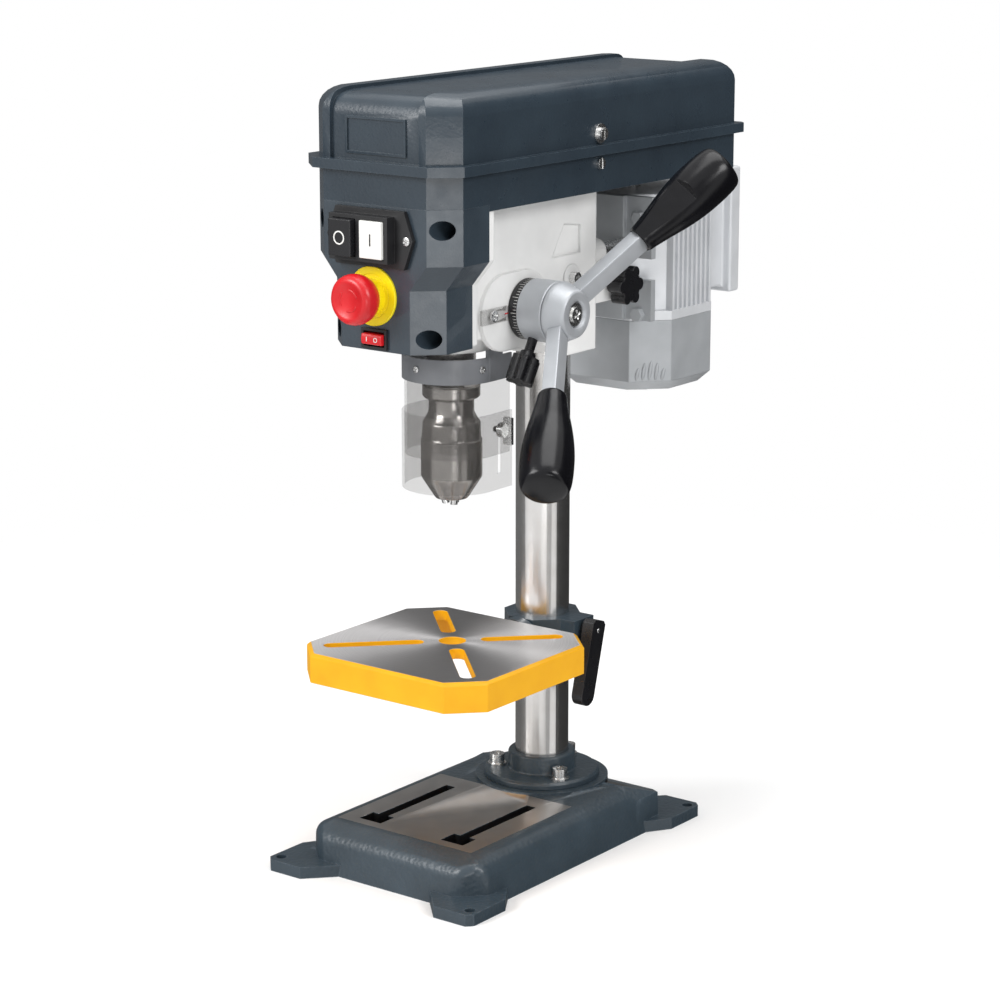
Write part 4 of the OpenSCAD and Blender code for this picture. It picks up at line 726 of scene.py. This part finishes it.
def lever_axes(angle):
    """The middle of the hub, and the directions along a lever, across it, and out from the hub's face."""
    along = np.array([math.sin(LEVER_LEAN), math.cos(LEVER_LEAN) * math.cos(angle),
                      math.cos(LEVER_LEAN) * math.sin(angle)])
    across = np.array([0.0, math.sin(angle), -math.cos(angle)])
    outward = np.cross(along, across)
    return np.array([LEVER_X, HUB_Y, HUB_Z]), along, across, outward * np.sign(outward[0])


def grip(angle):
    """The handle's outline turned about the lever, and cut by a slanting plane that runs out in a short rise.
    A share of the columns spans the cut, so that its edges follow the grid."""
    hub, along, across, outward = lever_axes(angle)
    facing = math.cos(PANEL_TURN) * outward - math.sin(PANEL_TURN) * across
    beside = math.sin(PANEL_TURN) * outward + math.cos(PANEL_TURN) * across
    curve = smooth_profile(GRIP_OUTLINE, GRIP_STEPS)
    radius, share = np.maximum(curve[:, :1], 0.0), curve[:, 1:]
    slope = (PANEL_DEPTH[1] - PANEL_DEPTH[0]) / PANEL_END
    depth = PANEL_DEPTH[0] + slope * share + PANEL_RISE * np.maximum(share - PANEL_END, 0.0)
    half = np.maximum(np.arccos(np.clip(depth / np.maximum(radius, 0.01), 0, 1)), PANEL_LEAST)
    panel = half * np.linspace(-1, 1, PANEL_COLUMNS, endpoint=False)
    rest = half + (2 * np.pi - 2 * half) * np.linspace(0, 1, ROUND_COLUMNS, endpoint=False)
    turn = np.concatenate([panel, rest], axis=1)
    out = np.minimum(radius * np.cos(turn), depth)[..., None]
    reach = (GRIP_START + (GRIP_END - GRIP_START) * share)[..., None]
    return hub + reach * along + out * facing + (radius * np.sin(turn))[..., None] * beside


def lever_arm(angle):
    """A rectangle with rounded corners carried along the lever: each corner's middle plus a small circle,
    with both ends drawn in to a point."""
    hub, along, across, outward = lever_axes(angle)
    turn = 2 * np.pi * (np.arange(BAR_COLUMNS) + 0.5) / BAR_COLUMNS
    wide = np.sign(np.cos(turn)) * (BAR_WIDE / 2 - BAR_CORNER) + BAR_CORNER * np.cos(turn)
    thick = np.sign(np.sin(turn)) * (BAR_THICK / 2 - BAR_CORNER) + BAR_CORNER * np.sin(turn)
    section = wide[:, None] * across + thick[:, None] * outward
    reach = np.array([BAR_START, BAR_START, BAR_END, BAR_END])[:, None, None]
    spread = np.array([0.0, 1.0, 1.0, 0.0])[:, None, None]
    return hub + reach * along + spread * section[None]


arm_grids = [lever_arm(angle) for angle in LEVER_ANGLES]
arms = surface("lever_arms", arm_grids, "feed", silver_paint)
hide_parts("lever_bars")
grip_grids = [grip(angle) for angle in LEVER_ANGLES]
grips = surface("grip_handles", grip_grids, "feed", grip_black, sharp_deg=24.0)
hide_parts("lever_grips")


# Stop button: a mushroom cap with a dished top and raised turning marks
STOP_X, STOP_Z = middle_mm("estop_button")[[0, 2]]
STOP_TIP = box_mm("estop_button")[0][1]
STOP_OUTLINE = [(0.0, -40.0), (10.0, -40.0), (10.0, -18.0), (16.6, -18.0), (17.6, -17.6), (18.9, -15.0),
                (19.8, -11.0), (20.0, -8.0), (19.8, -5.6), (19.0, -3.0), (17.4, -1.0), (15.2, 0.0),
                (13.6, -0.2), (12.6, -0.9), (0.0, -1.1)]
# the marks: the radius they run on, their rise, the depth of the dish, and the bearing of the first one and
# half its reach in degrees
MARK_RADIUS, MARK_RISE, MARK_FLOOR, MARK_BEARING, MARK_REACH = 8.4, 0.7, 1.1, 55, 40


def stop_marks():
    """Three raised arcs about the button's middle: a low rounded section carried along a third of a ring,
    and drawn to a point at both ends."""
    bend = np.linspace(0, 2 * np.pi, 12, endpoint=False)[None, :]
    place_along = np.linspace(-1, 1, 24)[:, None]
    fade = np.sqrt(1 - place_along**8)
    radius = MARK_RADIUS + fade * np.cos(bend)
    y = STOP_TIP - (MARK_RISE * fade * np.sin(bend) - MARK_FLOOR)
    arcs = []
    for third in range(3):
        turn = np.radians(120 * third + MARK_BEARING + MARK_REACH * place_along)
        arcs.append(np.stack([STOP_X + radius * np.cos(turn), y, STOP_Z + radius * np.sin(turn)], axis=-1))
    return arcs


cap_grid = revolve(STOP_OUTLINE, (STOP_X, STOP_TIP, STOP_Z), TOWARD_FRONT)
stop_cap = surface("stop_cap", [cap_grid], "estop_button", red_plastic, sharp_deg=50.0)
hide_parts("estop_button")
surface("stop_marks", stop_marks(), "estop_button", red_plastic)

# the disc behind it: flat, with a fine groove round its collar
DISC_BACK = box_mm("estop_disc")[1][1]
DISC_OUTLINE = [(10.3, 0.0), (23.5, 0.0), (23.5, 1.5), (23.0, 2.0), (17.6, 2.0), (17.4, 1.5), (16.7, 1.5),
                (16.5, 2.0), (14.0, 2.0), (14.0, 8.4), (13.4, 9.0), (10.3, 9.0), (10.3, 0.0)]
disc_grid = revolve(DISC_OUTLINE, (STOP_X, DISC_BACK, STOP_Z), TOWARD_FRONT)
disc = surface("stop_disc", [disc_grid], BODY_OF["estop_disc"], yellow_plastic)
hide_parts("estop_disc")


def ring_outline(outer, inner, low, high):
    """The section of a flat ring, as radius and height."""
    return [(outer, low), (outer, high), (inner, high), (inner, low), (outer, low)]


# Switch symbols: a ring on the black button and a bar on the white one
OFF_X, OFF_Z = middle_mm("off_button")[[0, 2]]
OFF_FACE = box_mm("off_button")[0][1]
ON_X, ON_Z = middle_mm("on_button")[[0, 2]]
ON_FACE = box_mm("on_button")[0][1]
off_grid = revolve(ring_outline(5.4, 4.3, -0.1, 0.25), (OFF_X, OFF_FACE, OFF_Z), TOWARD_FRONT)
surface("off_ring", [off_grid], "off_button", white_plastic)
bar_mark("on_bar", (ON_X - 0.5, ON_X + 0.5), ON_FACE - 0.15, (ON_Z - 4.6, ON_Z + 4.6), 0.3,
         "on_button", satin_black)


# Rocker: a bar and a ring, side by side on its crown
ROCKER_FACE = box_mm("rocker")[0][1]
ROCKER_Z = middle_mm("rocker")[2]
ROCKER_RING_X, ROCKER_BAR_X = 4.4, (-4.75, -4.05)
ROCKER_SPOT = (ROCKER_RING_X, ROCKER_FACE, ROCKER_Z)
rocker_grid = revolve(ring_outline(1.9, 1.3, -0.5, 0.12), ROCKER_SPOT, TOWARD_FRONT, 32)
surface("rocker_ring", [rocker_grid], "rocker", white_plastic)
bar_mark("rocker_bar", ROCKER_BAR_X, ROCKER_FACE + 0.1, (ROCKER_Z - 1.9, ROCKER_Z + 1.9), 0.5,
         "rocker", white_plastic)


# Depth dial: white marks round the black scale, every fifth one longer
DIAL_COUNT, DIAL_LONG, DIAL_SHORT, DIAL_HALF = 60, 5.4, 3.2, 0.28
# how far the marks start from the scale's edge, how far they stand off its rim, and their thickness
DIAL_INSET, DIAL_LIFT, DIAL_THICK = 0.4, 0.06, 0.1


def dial_marks():
    """Short bars across the rim of the scale: a ring of places, every fifth bar longer, each bar a small
    patch on the rim's radius."""
    radius = (SCALE_HIGH[2] - SCALE_LOW[2]) / 2
    number = np.arange(DIAL_COUNT)
    turn = number * 2 * np.pi / DIAL_COUNT
    reach = np.where(number % 5 == 0, DIAL_LONG, DIAL_SHORT)
    half = DIAL_HALF / radius
    edge = np.stack([turn - half, turn + half], axis=1)[:, None, :]
    start = np.full(DIAL_COUNT, SCALE_HIGH[0] - DIAL_INSET)
    across = np.stack([start, start - reach], axis=1)[:, :, None]
    y = HUB_Y + (radius + DIAL_LIFT) * np.cos(edge)
    z = HUB_Z + (radius + DIAL_LIFT) * np.sin(edge)
    return list(np.stack(np.broadcast_arrays(across, y, z), axis=-1))


dial = surface("dial_marks", dial_marks(), "depth_stop", white_plastic, wrap=False)
thicken(dial, DIAL_THICK, -1.0)


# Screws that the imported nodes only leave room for, each with its radius and height
PLATE_LOW, PLATE_HIGH = box_mm("switch_plate")
PLATE_FACE = PLATE_HIGH[1] - 4.0
PLATE_Z = middle_mm("switch_plate")[2]
PLATE_INSET, PLATE_SCREW = 5.6, (3.4, 1.6)
POINTER_LOW, POINTER_HIGH = box_mm("pointer")
POINTER_SPOT = (POINTER_HIGH[0], POINTER_LOW[1] + 14.0, HUB_Z)
HUB_SPOT = (box_mm("hub_screw")[1][0] - 0.05, HUB_Y, HUB_Z)
screw_set("plate_screws", [((PLATE_HIGH[0] - PLATE_INSET, PLATE_FACE, PLATE_Z), TOWARD_FRONT, *PLATE_SCREW),
                           ((PLATE_LOW[0] + PLATE_INSET, PLATE_FACE, PLATE_Z), TOWARD_FRONT, *PLATE_SCREW)],
          "frame")
screw_set("pointer_screw", [(POINTER_SPOT, TOWARD_RIGHT, 4.6, 2.2)], "frame")
screw_set("hub_cross", [(HUB_SPOT, TOWARD_RIGHT, 6.4, 2.0)], "feed")

# the pin in the clamp lever's eye
CLAMP_HIGH = box_mm("clamp_lever")[1]
PIN_SPOT = (CLAMP_HIGH[0], COLUMN_Y, CLAMP_HIGH[2] - 9.8)
PIN_OUTLINE = [(0.0, 0.5), (1.5, 0.5), (1.9, 0.15), (1.9, -1.0), (0.0, -1.0)]
pin_grid = revolve(PIN_OUTLINE, PIN_SPOT, TOWARD_RIGHT, 40)
surface("clamp_pin", [pin_grid], "table_clamp", bright_steel)

# the red index on the pointer
INDEX_Y = (POINTER_HIGH[1] - 5.0, POINTER_HIGH[1] - 0.4)
bar_mark("pointer_index", POINTER_HIGH[0], INDEX_Y, (HUB_Z - 0.5, HUB_Z + 0.5), 0.3,
         "frame", red_plastic)

# the screws in the guard's band
BAND_R = 40.0
BAND_SCREW_Z = middle_mm("guard_band")[2] - 2.0
BAND_SCREW = (2.8, 1.4)
BAND_BEARINGS = (-96.0, -14.0)


def band_spot(bearing_deg):
    """A place on the outside of the guard's band at a bearing about the spindle."""
    bearing = math.radians(bearing_deg)
    out = (math.cos(bearing), math.sin(bearing), 0.0)
    return (BAND_R * out[0], SPINDLE_Y + BAND_R * out[1], BAND_SCREW_Z), out, *BAND_SCREW


screw_set("band_screws", [band_spot(bearing) for bearing in BAND_BEARINGS], "guard")


# Motor case: a fan of domed ribs low on the corner that faces the user
CASE_LOW, CASE_HIGH = box_mm("motor_case")
CASE_BEVEL = 26.0
CORNER_SIDE = math.sqrt(0.5)
# the ribs: the step between them, their lean, half width, rise, how far they are sunk, and their foot
RIB_STEP, RIB_LEAN, RIB_HALF, RIB_RISE, RIB_SUNK, RIB_FOOT = 5.6, 2.0, 1.9, 1.3, 0.1, 10.0
# the height of the middle rib, and how much lower the others are
RIB_TALL, RIB_FALL = 17.0, 1.5


def case_rib(step):
    """One rib on the corner face: an ellipse across its width, half sunk in the face, tapering to nothing
    at both ends, leaning a little and lower away from the middle of the row."""
    along = np.linspace(0.0, 1.0, 15)[:, None]
    bend = np.linspace(0.0, 2 * np.pi, 14, endpoint=False)[None, :]
    fade = np.sqrt(np.clip(1.0 - (2.0 * along - 1.0) ** 2, 0.0, 1.0))
    across = RIB_STEP * step + RIB_LEAN * (along - 0.5) + RIB_HALF * fade * np.cos(bend)
    up = CASE_LOW[2] + RIB_FOOT + (RIB_TALL - RIB_FALL * step**2) * along
    out = RIB_RISE * fade * np.sin(bend) - RIB_SUNK
    x = CASE_HIGH[0] - CASE_BEVEL / 2 + CORNER_SIDE * (across + out)
    y = CASE_LOW[1] + CASE_BEVEL / 2 + CORNER_SIDE * (across - out)
    return np.stack(np.broadcast_arrays(x, y, up), axis=-1)


rib_grids = [case_rib(step) for step in (-2, -1, 0, 1, 2)]
# the ribs take the darker copy of the motor paint, which is painted shade
surface("case_ribs", rib_grids, "motor", shaded_motor_paint)


# Floor, light and camera

# How far from the middle the floor is solid, where it has faded out, and half its width, in metres
FLOOR_CLEAR, FLOOR_END, FLOOR_REACH = 0.55, 1.3, 2.0
# The flags' radius, their lower and upper edge, and the points along each
FLAG_RADIUS, FLAG_LOW, FLAG_HIGH, FLAG_COLUMNS = 3.0, -3.0, 2.6, 33
# The white of the background, and the grey of the light that it throws on the object
BACKDROP, AMBIENT = 1.0, 0.55


def floor():
    """A pale floor that fades into the white background away from the object."""
    mesh = bpy.data.meshes.new("floor")
    square = [(-1, -1), (1, -1), (1, 1), (-1, 1)]
    mesh.from_pydata([(FLOOR_REACH * x, FLOOR_REACH * y, 0) for x, y in square], [], [(0, 1, 2, 3)])
    coat = Finish("floor_card", roughness=0.9, specular=0.1)
    length = coat.node("ShaderNodeVectorMath", operation="LENGTH")
    coat.link(coat.coordinates, length.inputs[0])
    fade = coat.spread(length.outputs["Value"], 1.0, 0.0, (FLOOR_CLEAR, FLOOR_END), "SMOOTHSTEP")
    coat.link(fade, coat.shader.inputs["Alpha"])
    coat.shader.inputs["Base Color"].default_value = (0.9, 0.9, 0.9, 1)
    mesh.materials.append(coat.done())
    made = show("floor", mesh)
    made.visible_glossy = False


def flag(name, start_deg, end_deg, tone):
    """A dark studio flag that only reflections see: a tall arc about the set, from one bearing to another.
    Its points are radius times the cosine and sine of the bearing, at two heights."""
    bearing = np.radians(np.linspace(start_deg, end_deg, FLAG_COLUMNS))
    arc = np.stack([FLAG_RADIUS * np.cos(bearing), FLAG_RADIUS * np.sin(bearing)], axis=1)
    edges = [np.c_[arc, np.full(FLAG_COLUMNS, height)] for height in (FLAG_LOW, FLAG_HIGH)]
    mesh = bpy.data.meshes.new(name)
    mesh.from_pydata(np.concatenate(edges).tolist(), [], grid_faces(2, FLAG_COLUMNS, False).tolist())
    cloth = bpy.data.materials.new(name)
    cloth.use_nodes = True
    tree = cloth.node_tree
    glow = tree.nodes.new("ShaderNodeEmission")
    glow.inputs["Color"].default_value = (tone, tone, tone, 1)
    tree.links.new(glow.outputs["Emission"], tree.nodes["Material Output"].inputs["Surface"])
    mesh.materials.append(cloth)
    made = show(name, mesh)
    for ray in ("camera", "diffuse", "transmission", "volume_scatter", "shadow"):
        setattr(made, "visible_" + ray, False)


def background():
    """White to the camera and in reflections, and a plain grey light on the object."""
    world = bpy.data.worlds.new("studio")
    bpy.context.scene.world = world
    world.use_nodes = True
    tree = world.node_tree
    path = tree.nodes.new("ShaderNodeLightPath")
    seen = path.outputs["Is Camera Ray"]
    for ray in ("Is Transmission Ray", "Is Glossy Ray"):
        either = tree.nodes.new("ShaderNodeMath")
        either.operation = "MAXIMUM"
        tree.links.new(seen, either.inputs[0])
        tree.links.new(path.outputs[ray], either.inputs[1])
        seen = either.outputs[0]
    level = tree.nodes.new("ShaderNodeMapRange")
    level.inputs["To Min"].default_value = AMBIENT
    level.inputs["To Max"].default_value = BACKDROP
    tree.links.new(seen, level.inputs["Value"])
    sky = tree.nodes["Background"]
    sky.inputs["Color"].default_value = (1, 1, 1, 1)
    tree.links.new(level.outputs["Result"], sky.inputs["Strength"])


def lamp(name, spot, aim, size, watts):
    """A soft box of that size, turned to a point."""
    light = bpy.data.lights.new(name, "AREA")
    light.shape = "SQUARE"
    light.size = size
    light.energy = watts
    made = show(name, light)
    made.location = spot
    made.rotation_euler = (Vector(aim) - Vector(spot)).to_track_quat("-Z", "Y").to_euler()
    made.visible_camera = False


# The camera's place follows from the photograph: its angles, its distance and its lens
VIEW_AZIMUTH = math.radians(37.18)
VIEW_ELEVATION = math.radians(13.617)
CAMERA_PLACE = (1.4173, -1.8536, 0.8647)
LENS, SENSOR = 104.27, 36.0


def camera():
    """Looks back along the viewing angle, level, with the whole press in the frame."""
    data = bpy.data.cameras.new("camera")
    data.lens = LENS
    data.sensor_width = SENSOR
    made = show("camera", data)
    made.location = CAMERA_PLACE
    made.rotation_euler = (math.pi / 2 - VIEW_ELEVATION, 0.0, VIEW_AZIMUTH)
    bpy.context.scene.camera = made


floor()
background()
# Bearings in degrees from the right-hand side, turning to the back
flag("flag_right", 6.0, 108.0, 0.04)
flag("flag_back", 108.0, 228.0, 0.16)
flag("flag_corner", -46.0, -14.0, 0.35)
CENTRE = (0.0, 0.03, 0.33)
lamp("key", (-0.9, -2.0, 1.7), CENTRE, 1.2, 46.0)
lamp("top", (0.2, 0.2, 2.3), CENTRE, 1.6, 30.0)
lamp("right", (2.1, -0.3, 1.7), (0.0, 0.1, 0.55), 0.8, 20.0)
lamp("fill", (2.05, -1.75, 0.2), CENTRE, 0.8, 9.0)
camera()
bpy.context.scene.view_settings.view_transform = "Standard"
